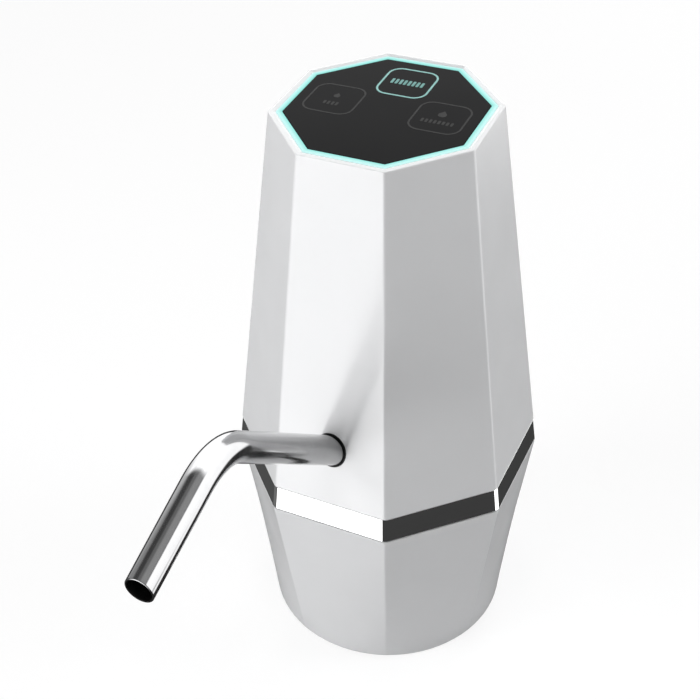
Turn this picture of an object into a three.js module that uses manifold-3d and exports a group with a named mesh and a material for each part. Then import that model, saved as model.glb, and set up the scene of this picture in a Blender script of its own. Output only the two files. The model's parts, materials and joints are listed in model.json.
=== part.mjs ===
// Electric pump that sits on the neck of a water jug. Millimetres, +Z up.
// The origin is the centre of the foot ring, on the axis of the jug's neck, and the spout points along -Y.
import * as THREE from "three";
import { mergeVertices } from "three/addons/utils/BufferGeometryUtils.js";
import Module from "manifold-3d";

// Clearances
const overrun = 3;
const seatGap = 0.3;
const runningGap = 0.08;

// Body: eight flat sides that lean in, over a skirt that turns round at the foot
const wideCornerRadius = 46;
const rimCornerRadius = 30.6;
const footRadius = 37.4;
const bandBottomZ = 59.8;
const bandHeight = 7.3;
const rimZ = 171.2;
const topTiltDegrees = 4;
const shellWall = 2.2;
const sideCount = 8;

// Top edge, flange and window of the upper shell, measured square to the tilted top
const lipCornerRadius = 28.9;
const lipRise = 0.3;
const recessWall = 0.2;
const panelDrop = 0.4;
const panelThickness = 1.4;
const panelCornerRadius = 26.7;
const guideWidth = 1.7;
const guideLedgeThickness = 1.5;
const guideLedgeReach = 6;
const flangeThickness = 2.6;
const windowInset = 5;

// Touch board under the flange
const boardThickness = 1.2;
const boardWallGap = 1.1;
const ledWidth = 1.6;
const ledHeight = 0.7;
const ledInset = 1.1;
const chipWidth = 7;
const chipHeight = 1.2;
const plugWidth = 9.2;
const plugDepth = 4;
const plugHeight = 2.5;
const plugOffset = 19;
const boardScrewCount = 2;
const boardScrewRadius = 0.7;
const boardScrewHeadRadius = 1.4;
const boardScrewHeadHeight = 0.9;
const backKeyY = 14;
const sideKeyX = 14.8;
const springRadius = 2.4;
const springWireRadius = 0.3;
const springTurns = 3;

// Lower shell: skirt, foot ring and the cup for the jug's neck
const neckBoreRadius = 29;
const neckWall = 2;
const neckRoofZ = 36;
const neckRoofThickness = 2.6;
const footThickness = 2.4;
const mouthLipWidth = 0.9;
const sealThickness = 1.1;
const sealRibHeight = 0.6;
const sealRibWidth = 1.4;
const sealTopMargin = 3;
const sealRibShares = [0.2, 0.5, 0.8];

// Screws that hold the chassis on the roof of the cup
const baseScrewCount = 3;
const baseScrewCircle = 20;
const baseScrewStartDegrees = 60;
const baseScrewLength = 14;
const baseScrewRadius = 1.2;
const baseScrewHeadRadius = 2.6;
const baseScrewHeadHeight = 1.6;
const postRadius = 3;
const slimPostRadius = 2.6;

// Inlet fitting in the roof of the cup
const hoseOuterRadius = 3.8;
const hoseInnerRadius = 2.7;
const barbRadius = 2.4;
const waterBoreRadius = 1.5;
const dipBarbRadius = 3.6;
const dipBarbLength = 11;
const fittingFlangeRadius = 5;
const fittingFlangeHeight = 1.4;
const fittingNutRadius = 5.6;
const fittingNutHeight = 2.8;
const fittingBarbLength = 7.5;

// Chassis
const chassisZ = 58;
const chassisThickness = 2.5;
const chassisRimWall = 1.6;
const chassisSkirtDepth = 4;
const chassisSkirtInset = 1.4;
const chassisRimHeight = 10;
const chassisSlotWidth = 9.4;
const chassisSlotStart = -19;
const chassisSlotEnd = -1;
const snapCount = 4;
const snapStartDegrees = 45;
const snapWidth = 9;
const snapHeight = 2.4;
const snapDepth = 0.9;
const snapLift = 3;
const screwBiteLength = 6;
const smallScrewRadius = 1;
const smallScrewHeadRadius = 2;
const smallScrewHeadHeight = 1.3;

// Battery cell and its cradle
const cellRadius = 9.2;
const cellLength = 65;
const cellX = -17;
const cellY = 8;
const cellCapRadius = 3;
const cellCapHeight = 1.6;
const cellCrimpDepth = 0.6;
const cellCrimpWidth = 1.4;
const cradleWall = 1.7;
const cradleHeight = 40;
const cradleMouthWidth = 14;

// Spout: a steel tube that leaves the front side rising, then bends down to the tip
const spoutRootZ = 85.7;
const spoutRiseDegrees = 40;
const spoutDropDegrees = 18.7;
const spoutRiseLength = 71.2;
const spoutDropLength = 36.4;
const spoutBendRadius = 18.8;
const spoutRootRadius = 4.2;
const spoutTipRadius = 3.55;
const spoutTubeWall = 0.55;
const spoutInsertDepth = 20;
const spoutBendSteps = 10;
const tubeSides = 16;

// Grommet, socket and ring that hold the spout
const spoutGap = 0.25;
const grommetWall = 0.9;
const grommetLip = 1.5;
const grommetProud = 0.3;
const grommetDepth = 9;
const socketRadius = 7.4;
const socketFloorThickness = 4;
const socketBarbLength = 10;
const ringCordRadius = 0.75;
const ringGap = 0.1;
const ringGrooveDepth = 12.6;
const ringGrooveWidth = 2.1;
const socketEarWidth = 30;
const socketEarDepth = 7;
const socketEarPlace = 15.5;
const socketEarThickness = 2.5;
const socketEarDrop = 19.2;
const socketScrewX = 11.6;

// Pump head, valves, diaphragm and crankcase, stacked up from the chassis
const pumpX = 14;
const pumpY = 8;
const pumpWidth = 25;
const pumpCornerRadius = 3;
const portOffset = 5.2;
const headHeight = 10;
const headFloor = 2.6;
const chamberRadius = 4.4;
const pumpNippleLength = 6;
const pumpScrewCount = 4;
const pumpScrewStartDegrees = 45;
const pumpScrewOffset = 10;
const pumpScrewRadius = 1;
const pumpScrewHeadRadius = 1.7;
const pumpScrewHeadHeight = 1.2;
const pumpScrewBite = 6;
const valvePlateThickness = 3;
const valveRadius = 3.6;
const valveThickness = 0.7;
const valveStemRadius = 0.7;
const valvePortRadius = 0.7;
const valvePortCircle = 2.2;
const valvePortCount = 4;
const valveRecessDepth = 1.2;
const diaphragmRadius = 11.4;
const diaphragmThickness = 1.2;
const diaphragmStemRadius = 1.1;
const diaphragmStemHeight = 4.6;
const diaphragmCupRadius = 3;
const diaphragmCupHeight = 1.3;
const pistonCircle = 6.3;
const pistonCount = 3;
const crankcaseHeight = 14;
const crankcaseRoof = 2;
const crankChamberRadius = 10.2;
const pumpEarLength = 20.2;
const pumpEarWidth = 7;
const pumpEarThickness = 2.6;
const pumpEarScrewOffset = 16.6;

// Wobble drive
const wobbleTiltDegrees = 7;
const wobbleCentreLift = 3.4;
const plateThickness = 1.4;
const plateBossRadius = 3;
const plateBossHeight = 2.6;
const plateArmRadius = 2.5;
const plateStemGap = 0.6;
const crankPinRadius = 1.4;
const crankPinReach = 1.6;
const hubRadius = 5.5;
const hubHeight = 4;
const hubLift = 2.8;

// Motor
const motorRadius = 12.2;
const motorCanLength = 30.8;
const motorCanWall = 1;
const motorCapHeight = 2.6;
const motorCapStep = 2.4;
const terminalWidth = 3;
const terminalHeight = 3;
const terminalThickness = 0.8;
const terminalOffset = 7;
const shaftRadius = 1;
const bushRadius = 2.9;
const bushLength = 2.7;
const magnetThickness = 1.7;
const magnetHeight = 21;
const magnetLift = 4.5;
const magnetHalfAngleDegrees = 62;
const poleCount = 3;
const armatureRadius = 7.9;
const armatureHeight = 15;
const armatureSlotWidth = 1.6;
const armatureSlotDepth = 3.4;
const windingRadius = 6.4;
const windingHeight = 2.2;
const commutatorRadius = 2.4;
const commutatorHeight = 3;
const brushThickness = 0.4;
const brushWidth = 2.2;
const brushGap = 0.25;

// Charging board and socket behind the rear side
const chargeBoardWidth = 22;
const chargeBoardStartY = 23;
const chargeBoardEndY = 36.5;
const chargeBoardZ = 71.7;
const chargePostX = 9;
const chargePostY = 26.5;
const leadPlugWidth = 4.6;
const leadPlugX = 7.5;
const leadPlugY = 31.2;
const leadPlugHeight = 3;
const usbWidth = 8.9;
const usbHeight = 3.2;
const usbDepth = 7.8;
const usbWall = 0.35;
const usbSetback = 0.8;
const usbTongueThickness = 0.7;
const usbTongueInset = 0.9;
const usbFloor = 1.2;

// Leads and ribbon
const leadWidth = 2.6;
const leadThickness = 1.3;
const ribbonWidth = 8;
const ribbonThickness = 0.5;

// Sides of round pieces
const skirtSides = 48;
const skirtLevels = 3;
const boreSides = 32;
const roundSides = 20;
const smallSides = 8;
const nutSides = 6;
const hoseSides = 10;
const hoseSteps = 28;
const leadSteps = 22;
const cornerSteps = 4;
const magnetSteps = 8;
const springSides = 5;
const springStepsPerTurn = 8;
const weldTolerance = 1e-4;

const wasm = await Module();
wasm.setup();

const degrees = THREE.MathUtils.degToRad;
const halfSideAngle = Math.PI / sideCount;
const flatShare = Math.cos(halfSideAngle);

// Places that several pieces share
const bandTopZ = bandBottomZ + bandHeight;
const cornerSlope = (rimCornerRadius - wideCornerRadius) / (rimZ - bandBottomZ);
const riseAngle = degrees(spoutRiseDegrees);
const dropAngle = degrees(spoutDropDegrees);
const chassisTopZ = chassisZ + chassisThickness;
const neckRoofTopZ = neckRoofZ + neckRoofThickness;
const fittingX = pumpX - portOffset;
const outletX = pumpX + portOffset;
const smallHoleRadius = smallScrewRadius + seatGap;
const shaftHoleRadius = shaftRadius + runningGap;
const wholeWidth = 4 * wideCornerRadius;

function cornerRadiusAt(z) {
  return wideCornerRadius + cornerSlope * (z - bandBottomZ);
}

function flatRadiusAt(z) {
  return cornerRadiusAt(z) * flatShare;
}

// Shapes, all standing along +Z

function box(width, depth, height, x, y, lowZ) {
  return new THREE.BoxGeometry(width, depth, height).translate(x, y, lowZ + height / 2);
}

function cone(lowRadius, highRadius, lowZ, highZ, sides = roundSides, x = 0, y = 0) {
  return new THREE.CylinderGeometry(highRadius, lowRadius, highZ - lowZ, sides)
    .rotateX(Math.PI / 2)
    .translate(x, y, (lowZ + highZ) / 2);
}

function rod(radius, lowZ, highZ, sides = roundSides, x = 0, y = 0) {
  return cone(radius, radius, lowZ, highZ, sides, x, y);
}

// A hole that runs past both ends of what it goes through
function drill(radius, lowZ, highZ, x = 0, y = 0, sides = smallSides) {
  return rod(radius, lowZ - overrun, highZ + overrun, sides, x, y);
}

function eightSided(lowCorner, highCorner, lowZ, highZ) {
  return cone(lowCorner, highCorner, lowZ, highZ, sideCount).rotateZ(halfSideAngle);
}

// The body's taper, drawn in or pushed out square to its flat sides
function bodyTaper(inset, lowZ, highZ) {
  const cornerInset = inset / flatShare;
  return eightSided(cornerRadiusAt(lowZ) - cornerInset, cornerRadiusAt(highZ) - cornerInset, lowZ, highZ);
}

// A profile of [radius, z] places, listed anticlockwise
function turned(profile, sides) {
  const points = [...profile, profile[0]].map(([radius, z]) => new THREE.Vector2(radius, z));
  return new THREE.LatheGeometry(points, sides).rotateX(Math.PI / 2);
}

function swept(outline, path, steps) {
  return new THREE.ExtrudeGeometry(outline, { steps, bevelEnabled: false, extrudePath: path });
}

function extruded(outline, lowZ, highZ, curveSegments = cornerSteps) {
  const options = { depth: highZ - lowZ, bevelEnabled: false, curveSegments };
  return new THREE.ExtrudeGeometry(outline, options).translate(0, 0, lowZ);
}

function circleOutline(radius, sides) {
  const outline = new THREE.Shape();
  for (let i = 0; i < sides; i++) {
    const angle = (2 * Math.PI * i) / sides;
    const point = [radius * Math.cos(angle), radius * Math.sin(angle)];
    if (i === 0) outline.moveTo(...point);
    else outline.lineTo(...point);
  }
  outline.closePath();
  return outline;
}

function roundedOutline(width, depth, radius) {
  const halfWidth = width / 2;
  const halfDepth = depth / 2;
  const outline = new THREE.Shape();
  outline.moveTo(halfWidth, -halfDepth + radius);
  outline.absarc(halfWidth - radius, halfDepth - radius, radius, 0, Math.PI / 2);
  outline.absarc(radius - halfWidth, halfDepth - radius, radius, Math.PI / 2, Math.PI);
  outline.absarc(radius - halfWidth, radius - halfDepth, radius, Math.PI, 1.5 * Math.PI);
  outline.absarc(halfWidth - radius, radius - halfDepth, radius, 1.5 * Math.PI, 2 * Math.PI);
  return outline;
}

// Points evenly round a circle
function around(count, radius, startDegrees = 0) {
  return Array.from({ length: count }, (_, i) => {
    const angle = degrees(startDegrees) + (2 * Math.PI * i) / count;
    return { x: radius * Math.cos(angle), y: radius * Math.sin(angle), angle };
  });
}

// Solids

function solid(geometry) {
  const bare = geometry.clone();
  bare.deleteAttribute("normal");
  bare.deleteAttribute("uv");
  const merged = mergeVertices(bare, weldTolerance);
  const corners = merged.index.array;
  const kept = [];
  for (let i = 0; i < corners.length; i += 3) {
    const [a, b, c] = corners.slice(i, i + 3);
    if (a !== b && b !== c && c !== a) kept.push(a, b, c);
  }
  const mesh = new wasm.Mesh({
    numProp: 3,
    vertProperties: merged.attributes.position.array,
    triVerts: new Uint32Array(kept),
  });
  return new wasm.Manifold(mesh);
}

function asSolid(shape) {
  return shape.isBufferGeometry ? solid(shape) : shape;
}

function join(...shapes) {
  return shapes.map(asSolid).reduce((whole, next) => whole.add(next));
}

function cut(shape, ...cutters) {
  return cutters.map(asSolid).reduce((whole, next) => whole.subtract(next), asSolid(shape));
}

function common(...shapes) {
  return shapes.map(asSolid).reduce((whole, next) => whole.intersect(next));
}

function geometryOf(shape) {
  const mesh = shape.getMesh();
  const geometry = new THREE.BufferGeometry();
  geometry.setAttribute("position", new THREE.BufferAttribute(mesh.vertProperties, mesh.numProp));
  geometry.setIndex(new THREE.BufferAttribute(mesh.triVerts, 1));
  geometry.computeVertexNormals();
  return geometry;
}

// Finishes

function finish(color, roughness, metalness = 0) {
  return new THREE.MeshStandardMaterial({ color, roughness, metalness });
}

const whitePlastic = finish("#f4f5f6", 0.25);
const innerPlastic = finish("#d9dcdf", 0.5);
const darkPlastic = finish("#26282b", 0.45);
const blackGlass = finish("#2e2f31", 0.12);
const lightPlastic = finish("#8ffbe8", 0.35);
const chrome = finish("#d8dadd", 0.06, 1);
const steel = finish("#b9bcc0", 0.2, 1);
const zinc = finish("#a9adb2", 0.4, 1);
const brass = finish("#c9a24c", 0.35, 1);
const copper = finish("#b4693a", 0.4, 1);
const magnetFinish = finish("#3b3a3a", 0.7);
const clearSilicone = finish("#e6eaec", 0.4);
const blackRubber = finish("#17181a", 0.7);
const boardGreen = finish("#1f5a3a", 0.5);
const cellWrap = finish("#3c7fb8", 0.4);
const leadRed = finish("#b3342c", 0.5);

const pump = new THREE.Group();

// The top's own frame: its origin is where the tilted rim plane crosses the axis
const top = new THREE.Group();
top.position.set(0, 0, rimZ);
top.rotation.x = degrees(topTiltDegrees);
top.updateMatrix();

// The spout's own frame: its origin is on the front side, and +Z runs out along the tube
const spout = new THREE.Group();
spout.position.set(0, -flatRadiusAt(spoutRootZ), spoutRootZ);
spout.rotation.x = Math.PI / 2 - riseAngle;
spout.updateMatrix();

// The pump's own frame: its origin is on the chassis, and +Z runs up the motor
const drive = new THREE.Group();
drive.position.set(pumpX, pumpY, chassisTopZ);
drive.updateMatrix();
pump.add(top, spout, drive);

function addPiece(parent, name, shape, material) {
  const mesh = new THREE.Mesh(geometryOf(asSolid(shape)), material);
  mesh.name = name;
  parent.add(mesh);
  return mesh;
}

// A pan-head screw along +Z, its head below
function screw(radius, length, headRadius, headHeight) {
  return join(
    rod(headRadius, -headHeight, 0, smallSides),
    rod(radius, -headHeight / 2, length, smallSides),
  );
}

function addScrew(parent, name, x, y, z, size, headUp = false) {
  const shape = screw(size.radius, size.length, size.headRadius, size.headHeight);
  const mesh = addPiece(parent, name, shape, zinc);
  mesh.position.set(x, y, z);
  if (headUp) mesh.rotation.x = Math.PI;
}

const baseScrew = {
  radius: baseScrewRadius,
  length: baseScrewLength,
  headRadius: baseScrewHeadRadius,
  headHeight: baseScrewHeadHeight,
};
const smallScrew = {
  radius: smallScrewRadius,
  length: socketEarThickness + screwBiteLength,
  headRadius: smallScrewHeadRadius,
  headHeight: smallScrewHeadHeight,
};

// Heights in the top's frame
const recessFloor = -(panelDrop + panelThickness + guideLedgeThickness + 2 * seatGap);
const flangeUnderside = recessFloor - flangeThickness;
const boardTop = flangeUnderside - seatGap;
const boardBottom = boardTop - boardThickness;
const guideCornerRadius = panelCornerRadius + guideWidth;
const recessCornerRadius = guideCornerRadius + seatGap;
const windowCornerRadius = recessCornerRadius - windowInset;
const boardScrewCircle = ((windowCornerRadius + recessCornerRadius) / 2 - seatGap) * flatShare;
const boardHoleRadius = boardScrewRadius + seatGap;

// Upper shell

const grommetRadius = spoutRootRadius + spoutGap + grommetWall;
const chargeBoardTopZ = chargeBoardZ + boardThickness;
const usbLowZ = chargeBoardTopZ + seatGap;
const usbFrontY = flatRadiusAt(usbLowZ) - usbSetback;
const snapZ = bandTopZ + snapLift;

function snapBlocks(depth, margin) {
  const places = around(snapCount, 0, snapStartDegrees);
  const width = snapWidth + 2 * margin;
  const height = snapHeight + 2 * margin;
  const innerFlat = flatRadiusAt(snapZ) - shellWall;
  return places.map(({ angle }) =>
    box(2 * depth, width, height, innerFlat, 0, snapZ - margin).rotateZ(angle),
  );
}

function usbSlot() {
  const outline = roundedOutline(usbWidth + 2 * seatGap, usbHeight + 2 * seatGap, usbHeight / 2);
  return extruded(outline, -shellWall - overrun, shellWall + overrun)
    .rotateX(Math.PI / 2)
    .translate(0, flatRadiusAt(usbLowZ), usbLowZ + usbHeight / 2);
}

function upperShell() {
  const bottomZ = bandTopZ + seatGap;
  const roomAbove = rimZ + overrun + shellWall;
  const inTop = (shape) => shape.applyMatrix4(top.matrix);
  const belowRim = inTop(box(wholeWidth, wholeWidth, rimZ, 0, 0, -rimZ));
  const belowFlange = inTop(box(wholeWidth, wholeWidth, rimZ, 0, 0, flangeUnderside - rimZ));
  const outside = common(bodyTaper(0, bottomZ, roomAbove), belowRim);
  const chamfer = inTop(eightSided(rimCornerRadius - seatGap, lipCornerRadius, -lipRise, lipRise));
  const room = common(bodyTaper(shellWall, bottomZ - overrun, roomAbove), belowFlange);
  const lipInner = lipCornerRadius - recessWall;
  const recess = inTop(eightSided(recessCornerRadius, lipInner, recessFloor, lipRise + overrun));
  const windowLow = flangeUnderside - overrun;
  const window = inTop(eightSided(windowCornerRadius, windowCornerRadius, windowLow, overrun));
  const spoutHole = rod(grommetRadius + seatGap, -grommetDepth, grommetDepth).applyMatrix4(spout.matrix);
  const pilotTop = flangeUnderside + flangeThickness / 2 + seatGap;
  const pilotHoles = around(boardScrewCount, boardScrewCircle).map(({ x, y }) =>
    inTop(rod(boardHoleRadius, flangeUnderside - overrun, pilotTop, smallSides, x, y)),
  );
  return cut(
    join(outside, chamfer),
    room,
    recess,
    window,
    spoutHole,
    usbSlot(),
    ...pilotHoles,
    ...snapBlocks(snapDepth + seatGap, seatGap),
  );
}

addPiece(pump, "upper_shell", upperShell(), whitePlastic);

// Trim band between the shells

function trimBand() {
  const low = bandBottomZ + seatGap;
  const outside = bodyTaper(0, low, bandTopZ);
  return cut(outside, bodyTaper(shellWall, low - overrun, bandTopZ + overrun));
}

addPiece(pump, "trim_band", trimBand(), chrome);

// Lower shell

// Each level of the skirt lies between the round foot and the eight-sided top
function skirt(inset, lowZ, highZ) {
  const height = highZ - lowZ;
  const geometry = new THREE.CylinderGeometry(footRadius, footRadius, height, skirtSides, skirtLevels)
    .rotateX(Math.PI / 2)
    .translate(0, 0, (lowZ + highZ) / 2);
  const places = geometry.attributes.position;
  for (let i = 0; i < places.count; i++) {
    const x = places.getX(i);
    const y = places.getY(i);
    const z = places.getZ(i);
    const angle = Math.atan2(y, x);
    const fromSide = Math.abs(angle) % (2 * halfSideAngle);
    const offSide = Math.min(fromSide, 2 * halfSideAngle - fromSide);
    const share = z / bandBottomZ;
    const round = footRadius - inset;
    const flat = (wideCornerRadius * flatShare - inset) / Math.cos(offSide);
    const radius = (1 - share) * round + share * flat;
    const reach = (Math.hypot(x, y) / footRadius) * radius;
    places.setXY(i, reach * Math.cos(angle), reach * Math.sin(angle));
  }
  return geometry;
}

const fittingHoleRadius = dipBarbRadius + seatGap;
const baseScrewPlaces = around(baseScrewCount, baseScrewCircle, baseScrewStartDegrees);

function lowerShell() {
  const cupRadius = neckBoreRadius + neckWall;
  const outside = skirt(0, 0, bandBottomZ);
  const cup = rod(cupRadius, 0, neckRoofTopZ, boreSides);
  const room = cut(skirt(shellWall, footThickness, bandBottomZ + overrun), cup);
  const mouth = rod(neckBoreRadius - mouthLipWidth, -overrun, footThickness + seatGap, boreSides);
  const bore = rod(neckBoreRadius, footThickness, neckRoofZ, boreSides);
  const screwHoles = baseScrewPlaces.map(({ x, y }) =>
    drill(baseScrewRadius + seatGap, neckRoofZ, neckRoofTopZ, x, y),
  );
  const fittingHole = drill(fittingHoleRadius, neckRoofZ, neckRoofTopZ, fittingX, pumpY, roundSides);
  return cut(outside, room, mouth, bore, fittingHole, ...screwHoles);
}

addPiece(pump, "lower_shell", lowerShell(), whitePlastic);

// Soft sleeve that grips the jug's neck

function neckSeal() {
  const outer = neckBoreRadius - seatGap;
  const inner = outer - sealThickness;
  const low = footThickness + seatGap;
  const high = neckRoofZ - sealTopMargin;
  const inside = [];
  for (const share of sealRibShares) {
    const z = low + share * (high - low);
    inside.push([inner, z - sealRibWidth], [inner - sealRibHeight, z], [inner, z + sealRibWidth]);
  }
  return turned([[outer, low], [outer, high], [inner, high], ...inside.reverse(), [inner, low]], boreSides);
}

addPiece(pump, "neck_seal", neckSeal(), clearSilicone);

// Inlet fitting: a barb for the dip tube below the roof and a hose barb above it

const fittingFlangeTop = neckRoofZ - seatGap;
const fittingNutTop = neckRoofTopZ + seatGap + fittingNutHeight;

function inletFitting() {
  const flangeLow = fittingFlangeTop - fittingFlangeHeight;
  const shape = join(
    rod(fittingFlangeRadius, flangeLow, fittingFlangeTop),
    cone(dipBarbRadius - seatGap, dipBarbRadius, flangeLow - dipBarbLength, flangeLow + seatGap),
    rod(dipBarbRadius, fittingFlangeTop - seatGap, fittingNutTop),
    rod(barbRadius, fittingNutTop - seatGap, fittingNutTop + fittingBarbLength),
  );
  return cut(shape, drill(waterBoreRadius, flangeLow - dipBarbLength, fittingNutTop + fittingBarbLength));
}

function inletNut() {
  const low = neckRoofTopZ + seatGap;
  return cut(
    rod(fittingNutRadius, low, fittingNutTop - seatGap, nutSides),
    drill(fittingHoleRadius, low, fittingNutTop, 0, 0, roundSides),
  );
}

addPiece(pump, "inlet_fitting", inletFitting(), innerPlastic).position.set(fittingX, pumpY, 0);
addPiece(pump, "inlet_nut", inletNut(), innerPlastic).position.set(fittingX, pumpY, 0);
baseScrewPlaces.forEach(({ x, y }, i) => {
  addScrew(pump, `base_screw_${i + 1}`, x, y, neckRoofZ - seatGap, baseScrew);
});

// Chassis: a plate on three posts, with a rim that locates the shells

const socketEndDepth = spoutInsertDepth + socketFloorThickness;
const socketEarZ = spoutRootZ - socketEarDrop;
const socketPostTop = socketEarZ - seatGap;
const chargePostTop = chargeBoardZ - seatGap;
const headLift = seatGap;
const valvePlateLow = headLift + headHeight + seatGap;
const diaphragmLow = valvePlateLow + valvePlateThickness + seatGap;
const crankcaseLow = diaphragmLow + diaphragmThickness + seatGap;
const crankcaseTop = crankcaseLow + crankcaseHeight;
const pumpEarTop = crankcaseLow + pumpEarThickness;
const canLow = crankcaseTop + seatGap;
const canTop = canLow + motorCanLength;
const socketEarTopZ = socketEarZ + socketEarThickness;
const socketScrewY = spout.position.y + socketEarPlace * Math.cos(riseAngle);

function post(x, y, lowZ, highZ, radius, holeRadius, holeLowZ, holeHighZ) {
  return {
    body: rod(radius, lowZ, highZ, smallSides, x, y),
    hole: rod(holeRadius, holeLowZ, holeHighZ, smallSides, x, y),
  };
}

function chassisPosts() {
  const upPost = (x, y, highZ) => {
    const holeLowZ = highZ - screwBiteLength - 2 * seatGap;
    return post(x, y, chassisZ, highZ, slimPostRadius, smallHoleRadius, holeLowZ, highZ + overrun);
  };
  const downPosts = baseScrewPlaces.map(({ x, y }) => {
    const low = neckRoofTopZ + seatGap;
    const depth = baseScrewLength - neckRoofThickness + seatGap;
    return post(x, y, low, chassisTopZ, postRadius, baseScrewRadius + seatGap, low - overrun, low + depth);
  });
  const earPostTop = chassisTopZ + crankcaseLow - seatGap;
  return [
    ...downPosts,
    upPost(-socketScrewX, socketScrewY, socketPostTop),
    upPost(socketScrewX, socketScrewY, socketPostTop),
    upPost(-chargePostX, chargePostY, chargePostTop),
    upPost(chargePostX, chargePostY, chargePostTop),
    upPost(pumpX, pumpY - pumpEarScrewOffset, earPostTop),
    upPost(pumpX, pumpY + pumpEarScrewOffset, earPostTop),
  ];
}

function chassisRim() {
  const skirtCorner = wideCornerRadius - (shellWall + chassisSkirtInset) / flatShare;
  const skirtLow = chassisZ - chassisSkirtDepth;
  const rimTop = chassisTopZ + chassisRimHeight;
  const rimInset = shellWall + seatGap;
  const wallCorner = chassisRimWall / flatShare;
  const innerCorner = skirtCorner - wallCorner;
  const lowRim = cut(
    eightSided(skirtCorner, skirtCorner, skirtLow, chassisZ + chassisThickness / 2),
    eightSided(innerCorner, innerCorner, skirtLow - overrun, chassisZ),
  );
  const highRim = cut(
    bodyTaper(rimInset, chassisZ, rimTop),
    bodyTaper(rimInset + chassisRimWall, chassisTopZ, rimTop + overrun),
  );
  const besideSkirt = cut(
    box(wholeWidth, wholeWidth, bandBottomZ - chassisZ + seatGap, 0, 0, chassisZ),
    eightSided(skirtCorner, skirtCorner, chassisZ - overrun, bandBottomZ + overrun),
  );
  const snapZone = cut(
    bodyTaper(shellWall - snapDepth, chassisZ, rimTop),
    bodyTaper(rimInset + seatGap, chassisZ, rimTop),
  );
  const snaps = snapBlocks(snapDepth, 0).map((block) => common(block, snapZone));
  return join(cut(join(lowRim, highRim), besideSkirt), ...snaps);
}

// A round wall that holds the cell, open towards the side of the shell
function cellCradle() {
  const inner = cellRadius + seatGap;
  const outer = inner + cradleWall;
  const highZ = chassisTopZ + cradleHeight;
  return cut(
    rod(outer, chassisZ, highZ, roundSides, cellX, cellY),
    rod(inner, chassisTopZ, highZ + overrun, roundSides, cellX, cellY),
    box(2 * outer, cradleMouthWidth, cradleHeight + overrun, cellX - outer, cellY, chassisTopZ),
  );
}

function chassis() {
  const posts = chassisPosts();
  const slotDepth = chassisSlotEnd - chassisSlotStart;
  const slotMiddle = (chassisSlotEnd + chassisSlotStart) / 2;
  const hoseHole = hoseOuterRadius + 2 * seatGap;
  return cut(
    join(chassisRim(), cellCradle(), ...posts.map(({ body }) => body)),
    box(chassisSlotWidth, slotDepth, chassisThickness + 2 * overrun, 0, slotMiddle, chassisZ - overrun),
    drill(hoseHole, chassisZ, chassisTopZ, fittingX, pumpY, roundSides),
    drill(hoseHole, chassisZ, chassisTopZ, outletX, pumpY, roundSides),
    ...posts.map(({ hole }) => hole),
  );
}

addPiece(pump, "chassis", chassis(), innerPlastic);

// Battery cell

function batteryCell() {
  const low = chassisTopZ + seatGap;
  const high = low + cellLength;
  const crimpZ = high - cellCrimpWidth * 2;
  const crimped = cellRadius - cellCrimpDepth;
  const profile = [
    [0, low],
    [cellRadius, low],
    [cellRadius, crimpZ - cellCrimpWidth],
    [crimped, crimpZ],
    [cellRadius, crimpZ + cellCrimpWidth],
    [cellRadius, high - cellCapHeight / 2],
    [cellCapRadius, high - cellCapHeight / 2],
    [cellCapRadius, high],
    [0, high],
  ];
  return turned(profile, roundSides);
}

addPiece(pump, "battery_cell", batteryCell(), cellWrap).position.set(cellX, cellY, 0);

// Light guide, panel and touch board, in the top's frame

function lightGuide() {
  const ledgeTop = -(panelDrop + panelThickness + seatGap);
  const bottom = recessFloor + seatGap;
  const inner = panelCornerRadius - guideLedgeReach;
  return cut(
    eightSided(guideCornerRadius, guideCornerRadius, bottom, -panelDrop),
    eightSided(panelCornerRadius + seatGap / 2, panelCornerRadius + seatGap / 2, ledgeTop, overrun),
    eightSided(inner, inner, bottom - overrun, overrun),
  );
}

function touchPanel() {
  const corner = panelCornerRadius - seatGap / 2;
  return eightSided(corner, corner, -(panelDrop + panelThickness), -panelDrop);
}

function touchBoard() {
  const shellCorner = cornerRadiusAt(rimZ + boardTop) - (shellWall + boardWallGap) / flatShare;
  const ledRadius = (windowCornerRadius - ledInset) * flatShare - ledWidth / 2;
  const leds = around(sideCount, 0).map(({ angle }) =>
    box(ledWidth, ledWidth, ledHeight + seatGap, ledRadius, 0, boardTop - seatGap).rotateZ(angle),
  );
  const chip = box(chipWidth, chipWidth, chipHeight + seatGap, 0, 0, boardBottom - chipHeight);
  const plug = box(plugWidth, plugDepth, plugHeight + seatGap, 0, plugOffset, boardBottom - plugHeight);
  const holes = around(boardScrewCount, boardScrewCircle).map(({ x, y }) =>
    drill(boardHoleRadius, boardBottom, boardTop, x, y),
  );
  const slab = eightSided(shellCorner, shellCorner, boardBottom, boardTop);
  return join(cut(slab, ...holes), ...leds, chip, plug);
}

const boardScrew = {
  radius: boardScrewRadius,
  length: boardThickness + seatGap + flangeThickness / 2,
  headRadius: boardScrewHeadRadius,
  headHeight: boardScrewHeadHeight,
};

addPiece(top, "light_guide", lightGuide(), lightPlastic);
addPiece(top, "touch_panel", touchPanel(), blackGlass);
addPiece(top, "touch_board", touchBoard(), boardGreen);
around(boardScrewCount, boardScrewCircle).forEach(({ x, y }, i) => {
  addScrew(top, `board_screw_${i + 1}`, x, y, boardBottom - seatGap, boardScrew);
});

// Contact springs between the board and the panel, one under each key

function touchSpring() {
  const low = boardTop + seatGap + springWireRadius;
  const high = -(panelDrop + panelThickness) - seatGap - springWireRadius;
  const coilRadius = springRadius - springWireRadius;
  class Helix extends THREE.Curve {
    getPoint(share, target = new THREE.Vector3()) {
      const angle = 2 * Math.PI * springTurns * share;
      const z = low + share * (high - low);
      return target.set(coilRadius * Math.cos(angle), coilRadius * Math.sin(angle), z);
    }
  }
  return swept(circleOutline(springWireRadius, springSides), new Helix(), springTurns * springStepsPerTurn);
}

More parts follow.
